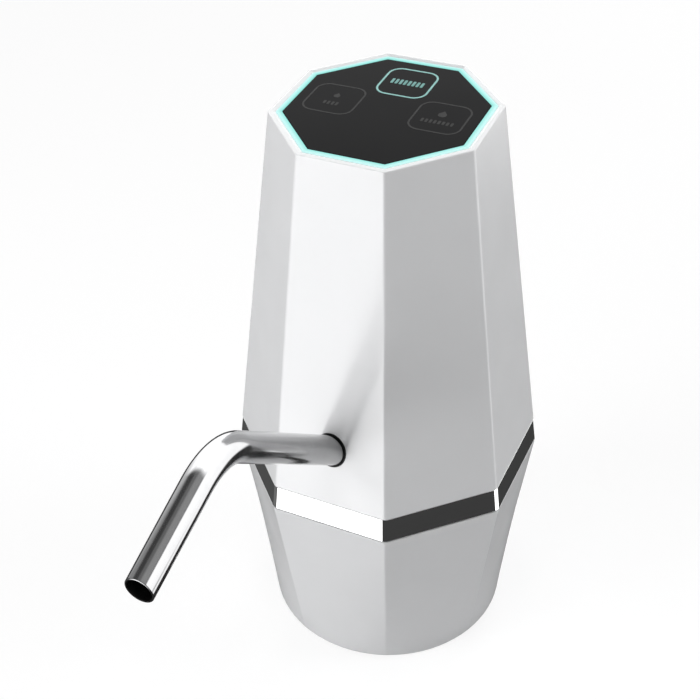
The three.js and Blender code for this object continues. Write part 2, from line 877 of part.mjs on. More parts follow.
const keyPlaces = [
  { name: "back", x: 0, y: backKeyY },
  { name: "left", x: -sideKeyX, y: 0 },
  { name: "right", x: sideKeyX, y: 0 },
];

for (const { name, x, y } of keyPlaces) {
  addPiece(top, `touch_spring_${name}`, touchSpring(), brass).position.set(x, y, 0);
}

// Spout, in its own frame

// Stations along the tube: place, direction and share of the outer length
function spoutStations() {
  const bend = riseAngle + dropAngle;
  const tangent = spoutBendRadius * Math.tan(bend / 2);
  const straight = spoutRiseLength - tangent;
  const arcLength = spoutBendRadius * bend;
  const last = spoutDropLength - tangent;
  const total = straight + arcLength + last;
  const stations = [
    { y: 0, z: -spoutInsertDepth, angle: 0, share: 0 },
    { y: 0, z: 0, angle: 0, share: 0 },
  ];
  for (let i = 0; i <= spoutBendSteps; i++) {
    const angle = (bend * i) / spoutBendSteps;
    stations.push({
      y: -spoutBendRadius * (1 - Math.cos(angle)),
      z: straight + spoutBendRadius * Math.sin(angle),
      angle,
      share: (straight + spoutBendRadius * angle) / total,
    });
  }
  const end = stations[stations.length - 1];
  stations.push({
    y: end.y - last * Math.sin(bend),
    z: end.z + last * Math.cos(bend),
    angle: bend,
    share: 1,
  });
  return stations;
}

// A closed tube through the stations, drawn in by the wall for its bore
function spoutForm(inset, endExtra) {
  const stations = spoutStations();
  const positions = [];
  stations.forEach(({ y, z, angle, share }, row) => {
    const radius = spoutRootRadius + (spoutTipRadius - spoutRootRadius) * share - inset;
    const isEnd = row === 0 ? -1 : row === stations.length - 1 ? 1 : 0;
    const alongY = -Math.sin(angle);
    const alongZ = Math.cos(angle);
    for (let side = 0; side < tubeSides; side++) {
      const turn = (2 * Math.PI * side) / tubeSides;
      const across = radius * Math.sin(turn);
      positions.push(
        radius * Math.cos(turn),
        y + across * alongZ + isEnd * endExtra * alongY,
        z - across * alongY + isEnd * endExtra * alongZ,
      );
    }
  });
  const index = [];
  const rows = stations.length;
  for (let row = 0; row < rows - 1; row++) {
    for (let side = 0; side < tubeSides; side++) {
      const next = (side + 1) % tubeSides;
      const low = row * tubeSides;
      const high = low + tubeSides;
      index.push(low + side, low + next, high + next, low + side, high + next, high + side);
    }
  }
  const lastRow = (rows - 1) * tubeSides;
  for (let side = 1; side < tubeSides - 1; side++) {
    index.push(0, side + 1, side, lastRow, lastRow + side, lastRow + side + 1);
  }
  const geometry = new THREE.BufferGeometry();
  geometry.setAttribute("position", new THREE.Float32BufferAttribute(positions, 3));
  geometry.setIndex(index);
  return geometry;
}

function spoutTube() {
  return cut(spoutForm(0, 0), spoutForm(spoutTubeWall, overrun));
}

const spoutBoreRadius = spoutRootRadius + spoutGap;
const toSpoutFrame = spout.matrix.clone().invert();

function spoutGrommet() {
  const reach = overrun + grommetDepth;
  const zone = [spoutRootZ - 2 * reach, spoutRootZ + 2 * reach];
  const proudZone = bodyTaper(-grommetProud, ...zone).applyMatrix4(toSpoutFrame);
  const innerZone = bodyTaper(shellWall + seatGap, ...zone).applyMatrix4(toSpoutFrame);
  const sleeve = common(rod(grommetRadius, -grommetDepth, reach), proudZone);
  const lip = common(rod(grommetRadius + grommetLip, -grommetDepth, reach), innerZone);
  return cut(join(sleeve, lip), rod(spoutBoreRadius, -reach, reach));
}

function spoutSocket() {
  const topDepth = grommetDepth + seatGap;
  const barbEnd = socketEndDepth + socketBarbLength;
  const ear = box(socketEarWidth, socketEarDepth, socketEarThickness, 0, socketScrewY, socketEarZ);
  const earHoles = [-socketScrewX, socketScrewX].map((x) =>
    drill(smallHoleRadius, socketEarZ, socketEarTopZ, x, socketScrewY).applyMatrix4(toSpoutFrame),
  );
  const body = join(
    rod(socketRadius, -socketEndDepth, -topDepth),
    rod(barbRadius, -barbEnd, -socketEndDepth + seatGap),
    ear.applyMatrix4(toSpoutFrame),
  );
  const grooveRadius = spoutRootRadius + 2 * ringCordRadius + spoutGap;
  const grooveLow = -ringGrooveDepth - ringGrooveWidth / 2;
  const groove = rod(grooveRadius, grooveLow, grooveLow + ringGrooveWidth);
  return cut(
    body,
    rod(spoutBoreRadius, -spoutInsertDepth - seatGap, overrun),
    groove,
    drill(waterBoreRadius, -barbEnd, -spoutInsertDepth),
    ...earHoles,
  );
}

function spoutRing() {
  const centreRadius = spoutRootRadius + ringGap + ringCordRadius;
  const ring = new THREE.TorusGeometry(centreRadius, ringCordRadius, smallSides, roundSides);
  return ring.translate(0, 0, -ringGrooveDepth);
}

addPiece(spout, "spout_tube", spoutTube(), steel);
addPiece(spout, "spout_grommet", spoutGrommet(), blackRubber);
addPiece(spout, "spout_socket", spoutSocket(), innerPlastic);
addPiece(spout, "spout_ring", spoutRing(), blackRubber);
[-socketScrewX, socketScrewX].forEach((x, i) => {
  addScrew(pump, `socket_screw_${i + 1}`, x, socketScrewY, socketEarTopZ + seatGap, smallScrew, true);
});

// Pump, in its own frame

const pumpOutline = roundedOutline(pumpWidth, pumpWidth, pumpCornerRadius);
const pumpScrewPlaces = around(pumpScrewCount, pumpScrewOffset * Math.SQRT2, pumpScrewStartDegrees);

function screwHoles(lowZ, highZ) {
  const radius = pumpScrewRadius + seatGap;
  return pumpScrewPlaces.map(({ x, y }) => rod(radius, lowZ, highZ, smallSides, x, y));
}

function pumpHead() {
  const high = headLift + headHeight;
  const parts = [-portOffset, portOffset].map((x) => ({
    nipple: rod(barbRadius, headLift - pumpNippleLength, headLift + seatGap, smallSides, x),
    bore: rod(waterBoreRadius, headLift - pumpNippleLength - overrun, high, smallSides, x),
    chamber: rod(chamberRadius, headLift + headFloor, high + overrun, roundSides, x),
  }));
  return cut(
    join(extruded(pumpOutline, headLift, high), ...parts.map(({ nipple }) => nipple)),
    ...parts.map(({ bore }) => bore),
    ...parts.map(({ chamber }) => chamber),
    ...screwHoles(high - pumpScrewBite, high + overrun),
  );
}

function valvePlate() {
  const high = valvePlateLow + valvePlateThickness;
  const ports = [-portOffset, portOffset].flatMap((x) => [
    drill(valveStemRadius + seatGap, valvePlateLow, high, x),
    ...around(valvePortCount, valvePortCircle).map((place) =>
      drill(valvePortRadius, valvePlateLow, high, x + place.x, place.y),
    ),
  ]);
  const recessRadius = valveRadius + seatGap;
  const recess = rod(recessRadius, high - valveRecessDepth, high + overrun, roundSides, -portOffset);
  const plate = extruded(pumpOutline, valvePlateLow, high);
  return cut(plate, recess, ...ports, ...screwHoles(valvePlateLow - overrun, high + overrun));
}

// A soft mushroom: a disc that lies over the ports, on a stem
function valve(discLow, stemLow, stemHigh) {
  return join(
    rod(valveRadius, discLow, discLow + valveThickness),
    rod(valveStemRadius, stemLow, stemHigh, smallSides),
  );
}

function inletValve() {
  const discLow = valvePlateLow + valvePlateThickness - valveRecessDepth + seatGap;
  return valve(discLow, valvePlateLow + seatGap, discLow + seatGap);
}

function outletValve() {
  const discLow = valvePlateLow - seatGap - valveThickness;
  return valve(discLow, discLow + seatGap, valvePlateLow + valvePlateThickness - seatGap);
}

function diaphragm() {
  const high = diaphragmLow + diaphragmThickness;
  const low = high - seatGap;
  const pistons = around(pistonCount, pistonCircle).flatMap(({ x, y }) => [
    cone(diaphragmCupRadius, diaphragmStemRadius, low, high + diaphragmCupHeight, roundSides, x, y),
    rod(diaphragmStemRadius, low, high + diaphragmStemHeight, smallSides, x, y),
  ]);
  return join(rod(diaphragmRadius, diaphragmLow, high), ...pistons);
}

function crankcase() {
  const outline = roundedOutline(pumpEarWidth, 2 * pumpEarLength, pumpEarWidth / 2 - seatGap);
  const ears = extruded(outline, crankcaseLow, pumpEarTop);
  const roofLow = crankcaseTop - crankcaseRoof;
  const earHoles = [-pumpEarScrewOffset, pumpEarScrewOffset].map((y) =>
    drill(smallHoleRadius, crankcaseLow, pumpEarTop, 0, y),
  );
  return cut(
    join(extruded(pumpOutline, crankcaseLow, crankcaseTop), ears),
    rod(crankChamberRadius, crankcaseLow - overrun, roofLow),
    drill(bushRadius + seatGap, roofLow, crankcaseTop, 0, 0, roundSides),
    ...screwHoles(crankcaseLow - overrun, crankcaseTop + overrun),
    ...earHoles,
  );
}

addPiece(drive, "pump_head", pumpHead(), innerPlastic);
addPiece(drive, "valve_plate", valvePlate(), darkPlastic);
addPiece(drive, "inlet_valve", inletValve(), blackRubber).position.setX(-portOffset);
addPiece(drive, "outlet_valve", outletValve(), blackRubber).position.setX(portOffset);
addPiece(drive, "diaphragm", diaphragm(), blackRubber);
addPiece(drive, "crankcase", crankcase(), darkPlastic);

const pumpScrew = {
  radius: pumpScrewRadius,
  length: crankcaseTop - (headLift + headHeight) + pumpScrewBite,
  headRadius: pumpScrewHeadRadius,
  headHeight: pumpScrewHeadHeight,
};

// The long screws' heads sit in the corners beside the motor can
pumpScrewPlaces.forEach(({ x, y }, i) => {
  addScrew(drive, `pump_screw_${i + 1}`, x, y, crankcaseTop + seatGap, pumpScrew, true);
});
[-pumpEarScrewOffset, pumpEarScrewOffset].forEach((y, i) => {
  addScrew(drive, `pump_mount_screw_${i + 1}`, 0, y, pumpEarTop + seatGap, smallScrew, true);
});

// Wobble drive: the hub's tilted pin nods the plate, and the plate works the diaphragm

const wobbleZ = diaphragmLow + diaphragmThickness + wobbleCentreLift;
const hubLow = wobbleZ + hubLift;
const wobble = new THREE.Group();
wobble.position.set(0, 0, wobbleZ);
wobble.rotation.y = degrees(wobbleTiltDegrees);
wobble.updateMatrix();
drive.add(wobble);

function crankHub() {
  const hub = rod(hubRadius, hubLow, hubLow + hubHeight);
  const pin = rod(crankPinRadius, -crankPinReach, hubLift + hubHeight / 4, smallSides);
  const bore = rod(shaftHoleRadius, hubLow + hubHeight / 4, hubLow + hubHeight + overrun);
  return cut(join(hub, pin.applyMatrix4(wobble.matrix)), bore);
}

function wobblePlate() {
  const halfThickness = plateThickness / 2;
  const arms = around(pistonCount, pistonCircle).flatMap(({ x, y, angle }) => [
    rod(plateArmRadius, -halfThickness, halfThickness, roundSides, x, y),
    box(pistonCircle, plateArmRadius, plateThickness, pistonCircle / 2, 0, -halfThickness).rotateZ(angle),
  ]);
  const stemHoles = around(pistonCount, pistonCircle).map(({ x, y }) =>
    drill(diaphragmStemRadius + plateStemGap, -halfThickness, halfThickness, x, y),
  );
  return cut(
    join(rod(plateBossRadius, -halfThickness, plateBossHeight - halfThickness), ...arms),
    drill(crankPinRadius + runningGap, -halfThickness, plateBossHeight, 0, 0, roundSides),
    ...stemHoles,
  );
}

addPiece(drive, "crank_hub", crankHub(), darkPlastic);
addPiece(wobble, "wobble_plate", wobblePlate(), innerPlastic);

// Motor

function motorCan() {
  return cut(
    rod(motorRadius, canLow, canTop),
    rod(motorRadius - motorCanWall, canLow + motorCanWall, canTop + overrun),
    drill(bushRadius + seatGap, canLow, canLow, 0, 0, roundSides),
  );
}

function bush(lowZ) {
  const highZ = lowZ + bushLength;
  return cut(rod(bushRadius, lowZ, highZ), drill(shaftHoleRadius, lowZ, highZ, 0, 0, roundSides));
}

const capPlugLow = canTop - motorCapStep;
const capTop = canTop + seatGap + motorCapHeight;
const rearBushLow = capPlugLow + seatGap;
const frontBushLow = canLow - bushLength / 2;

function motorEndCap() {
  const terminals = [-terminalOffset, terminalOffset].map((y) =>
    box(terminalWidth, terminalThickness, terminalHeight + seatGap, 0, y, capTop - seatGap),
  );
  const floor = rearBushLow + bushLength + seatGap;
  return cut(
    join(
      rod(motorRadius - motorCanWall - seatGap, capPlugLow, canTop + 2 * seatGap),
      rod(motorRadius, canTop + seatGap, capTop),
      ...terminals,
    ),
    rod(bushRadius + seatGap, capPlugLow - overrun, floor),
  );
}

function magnet() {
  const outer = motorRadius - motorCanWall - seatGap;
  const inner = outer - magnetThickness;
  const half = degrees(magnetHalfAngleDegrees);
  const outline = new THREE.Shape();
  outline.absarc(0, 0, outer, -half, half);
  outline.absarc(0, 0, inner, half, -half, true);
  const low = canLow + magnetLift;
  return extruded(outline, low, low + magnetHeight, magnetSteps);
}

const armatureLow = canLow + magnetLift + (magnetHeight - armatureHeight) / 2;
const commutatorLow = armatureLow + armatureHeight + windingHeight;

function armature() {
  const high = armatureLow + armatureHeight;
  const slotHeight = armatureHeight + 2 * overrun;
  const slots = around(poleCount, 0).map(({ angle }) =>
    box(2 * armatureSlotDepth, armatureSlotWidth, slotHeight, armatureRadius, 0, armatureLow - overrun)
      .rotateZ(angle),
  );
  const windings = rod(windingRadius, armatureLow - windingHeight, high + windingHeight);
  const core = cut(rod(armatureRadius, armatureLow, high), ...slots);
  const bore = drill(shaftHoleRadius, armatureLow - windingHeight, high + windingHeight, 0, 0, roundSides);
  return cut(join(core, windings), bore);
}

function commutator() {
  const low = commutatorLow + seatGap;
  const high = low + commutatorHeight;
  return cut(rod(commutatorRadius, low, high), drill(shaftHoleRadius, low, high, 0, 0, roundSides));
}

function motorShaft() {
  return rod(shaftRadius, hubLow + hubHeight / 4 + seatGap, rearBushLow + bushLength);
}

// A leaf of spring metal that hangs from the cap and bears on the commutator
function brush() {
  const low = commutatorLow + seatGap + commutatorHeight / 4;
  const x = commutatorRadius + brushGap + brushThickness / 2;
  return box(brushThickness, brushWidth, capPlugLow - seatGap - low, x, 0, low);
}

addPiece(drive, "motor_can", motorCan(), zinc);
addPiece(drive, "motor_end_cap", motorEndCap(), darkPlastic);
addPiece(drive, "motor_bush_front", bush(frontBushLow), brass);
addPiece(drive, "motor_bush_rear", bush(rearBushLow), brass);
addPiece(drive, "motor_shaft", motorShaft(), steel);
addPiece(drive, "armature", armature(), copper);
addPiece(drive, "commutator", commutator(), copper);
[0, Math.PI].forEach((turn, i) => {
  addPiece(drive, `magnet_${i + 1}`, magnet(), magnetFinish).rotation.z = turn;
  addPiece(drive, `brush_${i + 1}`, brush(), brass).rotation.z = turn + Math.PI / 2;
});

// Hoses

function hoseTube(points) {
  const path = new THREE.CatmullRomCurve3(points.map((point) => new THREE.Vector3(...point)));
  const outside = swept(circleOutline(hoseOuterRadius, hoseSides), path, hoseSteps);
  const ends = [path.getTangent(0), path.getTangent(1)];
  const longer = [
    points[0].map((value, i) => value - ends[0].getComponent(i) * overrun),
    ...points,
    points[points.length - 1].map((value, i) => value + ends[1].getComponent(i) * overrun),
  ];
  const longPath = new THREE.CatmullRomCurve3(longer.map((point) => new THREE.Vector3(...point)));
  return cut(outside, swept(circleOutline(hoseInnerRadius, hoseSides), longPath, hoseSteps));
}

const hoseTopZ = chassisTopZ - seatGap;

function inletHose() {
  const low = fittingNutTop + seatGap;
  return cut(rod(hoseOuterRadius, low, hoseTopZ), drill(hoseInnerRadius, low, hoseTopZ, 0, 0, roundSides));
}

// A point on the spout's axis, inside the body
function onSpoutAxis(depth) {
  return new THREE.Vector3(0, 0, -depth).applyMatrix4(spout.matrix).toArray();
}

const outletRoute = [
  [outletX, pumpY, hoseTopZ],
  [outletX, pumpY, 57],
  [outletX, pumpY, 53.8],
  [18.3, 5.4, 49.6],
  [14.4, 1.2, 47],
  [9, -1.6, 46.4],
  [4.2, -3.2, 49],
  [1.2, -5.4, 53.4],
  onSpoutAxis(socketEndDepth + socketBarbLength + hoseOuterRadius),
  onSpoutAxis(socketEndDepth + socketBarbLength),
  onSpoutAxis(socketEndDepth + seatGap),
];

addPiece(pump, "inlet_hose", inletHose(), clearSilicone).position.set(fittingX, pumpY, 0);
addPiece(pump, "outlet_hose", hoseTube(outletRoute), clearSilicone);

// Charging board, with its socket in the rear side

function chargeBoard() {
  const depth = chargeBoardEndY - chargeBoardStartY;
  const middle = (chargeBoardStartY + chargeBoardEndY) / 2;
  const slab = box(chargeBoardWidth, depth, boardThickness, 0, middle, chargeBoardZ);
  const plugLow = chargeBoardTopZ - seatGap;
  const plugs = [-leadPlugX, leadPlugX].map((x) =>
    box(leadPlugWidth, leadPlugWidth, leadPlugHeight + seatGap, x, leadPlugY, plugLow),
  );
  const holes = [-chargePostX, chargePostX].map((x) =>
    drill(smallHoleRadius, chargeBoardZ, chargeBoardTopZ, x, chargePostY),
  );
  const ribbonPlug = box(plugWidth - 2 * seatGap, plugDepth, plugHeight + seatGap, 0, chargePostY, plugLow);
  return cut(join(slab, ...plugs, ribbonPlug), ...holes);
}

function usbSocket() {
  const shape = extruded(roundedOutline(usbWidth, usbHeight, usbHeight / 2 - seatGap), 0, usbDepth);
  const inside = extruded(
    roundedOutline(usbWidth - 2 * usbWall, usbHeight - 2 * usbWall, usbHeight / 2 - seatGap - usbWall),
    usbFloor,
    usbDepth + overrun,
  );
  const tongueWidth = usbWidth - 2 * usbWall - 2 * usbTongueInset;
  const tongue = box(tongueWidth, usbTongueThickness, usbDepth - usbTongueInset, 0, 0, 0);
  return join(cut(shape, inside), tongue);
}

addPiece(pump, "charge_board", chargeBoard(), boardGreen);
const socketMesh = addPiece(pump, "usb_socket", usbSocket(), zinc);
socketMesh.rotation.x = -Math.PI / 2;
socketMesh.position.set(0, usbFrontY - usbDepth, usbLowZ + usbHeight / 2);
const chargeScrew = { ...smallScrew, length: boardThickness + screwBiteLength };
[-chargePostX, chargePostX].forEach((x, i) => {
  addScrew(pump, `charge_screw_${i + 1}`, x, chargePostY, chargeBoardTopZ + seatGap, chargeScrew, true);
});

// Leads and ribbon, held inside the body

function flatLead(width, thickness, points) {
  const halfWidth = width / 2;
  const halfThickness = thickness / 2;
  const outline = new THREE.Shape([
    new THREE.Vector2(-halfWidth, -halfThickness),
    new THREE.Vector2(halfWidth, -halfThickness),
    new THREE.Vector2(halfWidth, halfThickness),
    new THREE.Vector2(-halfWidth, halfThickness),
  ]);
  const path = new THREE.CatmullRomCurve3(points.map((point) => new THREE.Vector3(...point)));
  return swept(outline, path, leadSteps);
}

const leadPlugTopZ = chargeBoardTopZ + leadPlugHeight + seatGap;
const ribbonPlugTopZ = chargeBoardTopZ + plugHeight + seatGap;
const motorTopZ = chassisTopZ + capTop + terminalHeight + seatGap;
const cellTopZ = chassisTopZ + cellLength + 2 * seatGap;
const ribbonTop = new THREE.Vector3(0, plugOffset, boardBottom - plugHeight - seatGap);
ribbonTop.applyMatrix4(top.matrix);

const motorLeadRoute = [
  [pumpX, pumpY + terminalOffset, motorTopZ],
  [14, 16.4, 134],
  [13.2, 20.6, 134.6],
  [12, 24, 128],
  [10, 27, 105],
  [leadPlugX, leadPlugY, 86],
  [leadPlugX, leadPlugY, leadPlugTopZ],
];
const cellLeadRoute = [
  [cellX, cellY, cellTopZ],
  [-16.4, 10, 131.5],
  [-14, 15, 133],
  [-12, 21, 127],
  [-10, 26, 105],
  [-leadPlugX, leadPlugY, 86],
  [-leadPlugX, leadPlugY, leadPlugTopZ],
];
const ribbonRoute = [
  ribbonTop.toArray(),
  [0, 20.4, 155],
  [0, 22.6, 130],
  [0, 25.4, 100],
  [0, chargePostY, 84],
  [0, chargePostY, ribbonPlugTopZ],
];

addPiece(pump, "motor_lead", flatLead(leadWidth, leadThickness, motorLeadRoute), leadRed);
addPiece(pump, "battery_lead", flatLead(leadWidth, leadThickness, cellLeadRoute), leadRed);
addPiece(pump, "ribbon_cable", flatLead(ribbonWidth, ribbonThickness, ribbonRoute), innerPlastic);

export default pump;
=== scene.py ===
import json
import math

import bmesh
import bpy
from mathutils import Matrix, Vector


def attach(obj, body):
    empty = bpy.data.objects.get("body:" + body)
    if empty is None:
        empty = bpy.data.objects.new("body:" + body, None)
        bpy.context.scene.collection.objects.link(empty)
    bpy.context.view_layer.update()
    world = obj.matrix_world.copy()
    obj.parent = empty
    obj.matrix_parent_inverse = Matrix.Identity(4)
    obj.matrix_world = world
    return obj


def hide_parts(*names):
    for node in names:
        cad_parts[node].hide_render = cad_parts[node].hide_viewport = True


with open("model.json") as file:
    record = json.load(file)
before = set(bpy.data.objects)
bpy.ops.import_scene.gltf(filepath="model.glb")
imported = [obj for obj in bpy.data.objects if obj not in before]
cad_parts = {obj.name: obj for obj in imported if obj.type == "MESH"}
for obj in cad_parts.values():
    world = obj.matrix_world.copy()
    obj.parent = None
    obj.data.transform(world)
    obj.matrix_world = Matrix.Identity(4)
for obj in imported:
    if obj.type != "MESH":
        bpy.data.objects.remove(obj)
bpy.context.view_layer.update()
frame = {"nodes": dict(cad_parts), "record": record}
cad = frame["nodes"]

MM = 0.001

# Lengths are in millimetres throughout, and become metres where a mesh or the camera is made.
# The spout points along -y, x is to the right as seen from the front, and z is up.

# Body
SIDES = 8
HALF = math.pi / SIDES  # half the angle between two corners
FLAT = math.cos(HALF)  # a flat side's distance from the axis, as a share of a corner's
WIDE_CORNER = 46.0
RIM_CORNER = 30.6
FOOT_RADIUS = 37.4
BAND_LOW = 59.8
BAND_HIGH = 67.1
RIM_Z = 171.2
TILT = math.radians(4.0)
WALL = 2.2
SLOPE = (RIM_CORNER - WIDE_CORNER) / (RIM_Z - BAND_LOW)

# Fillets of the eight corners
BODY_FILLET = 1.1
SHELL_FILLET = 1.4
BAND_FILLET = 1.85
LIP_FILLET = 0.4
TOP_FILLET = 0.3

# Top, with corners measured from the axis and heights square to the slope
RECESS_CORNER = 28.62
GUIDE_CORNER = 28.54
PANEL_CORNER = 26.93
RECESS_FLOOR = -4.0
FACE = -0.3

# Cup for the jug's neck
MOUTH_RADIUS = 28.1
MOUTH_HEIGHT = 2.7
CUP_RADIUS = 29.0
CUP_ROOF = 36.0

# Spout, and the charging socket in the rear side
SPOUT_Z = 85.7
SPOUT_RISE = math.radians(40.0)
SPOUT_BEND = math.radians(58.7)
SOCKET_Z = 74.8

# How finely the octagonal rings are drawn
CORNER_STEPS = 6
FLAT_STEPS = 10

FILLET_SHARE = 0.49  # the most of a stretch that one fillet takes, so that two never meet
WELD = 1e-7  # metres
SMOOTH_BELOW = 24.0  # degrees between two faces


def corner_at(z):
    return WIDE_CORNER + SLOPE * (z - BAND_LOW)


# Rings: lists of (x, y, z) points in millimetres, all with the same count and start

def ring_plan():
    """Each point's corner angle, fillet angle and share of the flat side that follows."""
    plan = []
    for corner in range(SIDES):
        middle = HALF + 2 * HALF * corner
        for step in range(CORNER_STEPS + 1):
            plan.append((middle, middle - HALF + 2 * HALF * step / CORNER_STEPS, 0.0))
        for step in range(1, FLAT_STEPS):
            plan.append((middle, middle + HALF, step / FLAT_STEPS))
    return plan


PLAN = ring_plan()


def octagon(corner, fillet, flat=False):
    """Flat points of an octagon with rounded corners, or with flat chamfers across them."""
    centre = corner - fillet / FLAT
    points = []
    for middle, turn, along in PLAN:
        x = centre * math.cos(middle) + fillet * math.cos(turn)
        y = centre * math.sin(middle) + fillet * math.sin(turn)
        if flat and not along:
            out = centre + fillet * FLAT
            side = fillet * math.sin(HALF) * (turn - middle) / HALF
            x = out * math.cos(middle) - side * math.sin(middle)
            y = out * math.sin(middle) + side * math.cos(middle)
        if along:
            after = middle + 2 * HALF
            x2 = centre * math.cos(after) + fillet * math.cos(turn)
            y2 = centre * math.sin(after) + fillet * math.sin(turn)
            x += (x2 - x) * along
            y += (y2 - y) * along
        points.append((x, y))
    return points


def body_ring(inset, z, fillet=BODY_FILLET, flat=False):
    return [(x, y, z) for x, y in octagon(corner_at(z) - inset / FLAT, fillet, flat)]


def body_ring_on_slope(inset, height, fillet=BODY_FILLET):
    """The body's outline where a plane that is parallel to the sloping top cuts it."""
    low_z, high_z = 150.0, 180.0
    span = high_z - low_z
    low = octagon(corner_at(low_z) - inset / FLAT, fillet)
    high = octagon(corner_at(high_z) - inset / FLAT, fillet)
    rise = math.tan(TILT)
    start = RIM_Z + height / math.cos(TILT)
    points = []
    for (x0, y0), (x1, y1) in zip(low, high):
        slope_y = (y1 - y0) / span
        z = (start + rise * (y0 - slope_y * low_z)) / (1 - rise * slope_y)
        share = (z - low_z) / span
        points.append((x0 + (x1 - x0) * share, y0 + (y1 - y0) * share, z))
    return points


def from_top(x, y, height):
    """A place given square to the sloping top."""
    return (
        x,
        y * math.cos(TILT) - height * math.sin(TILT),
        RIM_Z + y * math.sin(TILT) + height * math.cos(TILT),
    )


def top_ring(corner, height, fillet=LIP_FILLET):
    return [from_top(x, y, height) for x, y in octagon(corner, fillet)]


def skirt_ring(inset, z):
    """The lower shell's outline, a circle at the foot and the octagon at the band."""
    share = z / BAND_LOW
    points = []
    for x, y in octagon(WIDE_CORNER - inset / FLAT, BODY_FILLET):
        radius = (1 - share) * (FOOT_RADIUS - inset) + share * math.hypot(x, y)
        turn = math.atan2(y, x)
        points.append((radius * math.cos(turn), radius * math.sin(turn), z))
    return points


def round_ring(radius, z):
    """A circle whose points stand in the same directions as the octagonal rings' points."""
    points = []
    for x, y in octagon(WIDE_CORNER, BODY_FILLET):
        turn = math.atan2(y, x)
        points.append((radius * math.cos(turn), radius * math.sin(turn), z))
    return points


def turns(sides):
    """The angles of a circle's points."""
    return [2 * math.pi * i / sides for i in range(sides)]


def rectangle(x, y, width, depth):
    """The four corners of a rectangle round its middle."""
    return [
        (x - width / 2, y - depth / 2),
        (x + width / 2, y - depth / 2),
        (x + width / 2, y + depth / 2),
        (x - width / 2, y + depth / 2),
    ]


def fillet_path(points, radii, steps=4, closed=False):
    """A flat path whose corners are rounded to the given radii."""
    out = []
    count = len(points)
    for i, radius in enumerate(radii):
        here = Vector(points[i])
        if radius <= 0 or (not closed and i in (0, count - 1)):
            out.append(tuple(here))
            continue
        before = Vector(points[i - 1]) - here
        after = Vector(points[(i + 1) % count]) - here
        opening = before.angle(after)
        room = FILLET_SHARE * min(before.length, after.length)
        reach = min(radius / math.tan(opening / 2), room)
        size = reach * math.tan(opening / 2)
        before.normalize()
        after.normalize()
        centre = here + (before + after).normalized() * (size / math.sin(opening / 2))
        first = here + before * reach - centre
        last = here + after * reach - centre
        start = math.atan2(first.y, first.x)
        sweep = (math.atan2(last.y, last.x) - start + math.pi) % (2 * math.pi) - math.pi
        for step in range(steps + 1):
            turn = start + sweep * step / steps
            out.append((centre.x + size * math.cos(turn), centre.y + size * math.sin(turn)))
    return out


# Mesh making

def new_object(name, points, faces):
    mesh = bpy.data.meshes.new(name)
    mesh.from_pydata([(x * MM, y * MM, z * MM) for x, y, z in points], [], faces)
    mesh.validate()
    obj = bpy.data.objects.new(name, mesh)
    bpy.context.scene.collection.objects.link(obj)
    return obj


def face_out(obj):
    work = bmesh.new()
    work.from_mesh(obj.data)
    bmesh.ops.remove_doubles(work, verts=work.verts, dist=WELD)
    bmesh.ops.recalc_face_normals(work, faces=work.faces)
    if work.calc_volume(signed=True) < 0:
        bmesh.ops.reverse_faces(work, faces=work.faces)
    work.to_mesh(obj.data)
    work.free()


def shade(obj, degrees=SMOOTH_BELOW):
    """Smooth shading that keeps the large flat faces flat beside their rounded edges."""
    obj.data.polygons.foreach_set("use_smooth", [True] * len(obj.data.polygons))
    obj.data.set_sharp_from_angle(angle=math.radians(degrees))
    obj.data.update()
    change = obj.modifiers.new("normals", "WEIGHTED_NORMAL")
    change.keep_sharp = True
    change.weight = 80
    apply_modifiers(obj)


def loft(name, rings, closed=False):
    """A skin over rings of equal count; closed joins the last ring to the first, open gets caps."""
    count = len(rings[0])
    points = [point for ring in rings for point in ring]
    faces = []
    last = len(rings) if closed else len(rings) - 1
    for row in range(last):
        low = row * count
        high = ((row + 1) % len(rings)) * count
        for i in range(count):
            after = (i + 1) % count
            faces.append((low + i, low + after, high + after, high + i))
    if not closed:
        faces.append(tuple(reversed(range(count))))
        start = (len(rings) - 1) * count
        faces.append(tuple(start + i for i in range(count)))
    obj = new_object(name, points, faces)
    face_out(obj)
    return obj


def lathe(name, profile, sides=96, place=(0.0, 0.0, 0.0), closed=True):
    """A turned piece; profile is (radius, height) places round its section."""
    x, y, z = place
    rings = []
    for radius, height in profile:
        rings.append([
            (x + radius * math.cos(turn), y + radius * math.sin(turn), z + height)
            for turn in turns(sides)
        ])
    return loft(name, rings, closed=closed)


def apply_modifiers(obj):
    graph = bpy.context.evaluated_depsgraph_get()
    made = bpy.data.meshes.new_from_object(obj.evaluated_get(graph))
    old = obj.data
    obj.modifiers.clear()
    obj.data = made
    bpy.data.meshes.remove(old)


def cut(obj, cutters):
    for cutter in cutters:
        change = obj.modifiers.new("cut", "BOOLEAN")
        change.operation = "DIFFERENCE"
        change.solver = "EXACT"
        change.object = cutter
    apply_modifiers(obj)
    for cutter in cutters:
        bpy.data.objects.remove(cutter)


def bevel(obj, width, degrees=50.0, segments=3):
    change = obj.modifiers.new("bevel", "BEVEL")
    change.width = width * MM
    change.segments = segments
    change.limit_method = "ANGLE"
    change.angle_limit = math.radians(degrees)
    change.use_clamp_overlap = True
    apply_modifiers(obj)


def join(objects, name):
    """One object from several, keeping each one's materials."""
    work = bmesh.new()
    materials = []
    for obj in objects:
        offset = len(work.faces)
        start = len(materials)
        materials.extend(obj.data.materials)
        work.from_mesh(obj.data)
        work.faces.ensure_lookup_table()
        for face in work.faces[offset:]:
            face.material_index += start
    mesh = bpy.data.meshes.new(name)
    work.to_mesh(mesh)
    work.free()
    for material in materials:
        mesh.materials.append(material)
    for obj in objects:
        bpy.data.objects.remove(obj)
    whole = bpy.data.objects.new(name, mesh)
    bpy.context.scene.collection.objects.link(whole)
    return whole


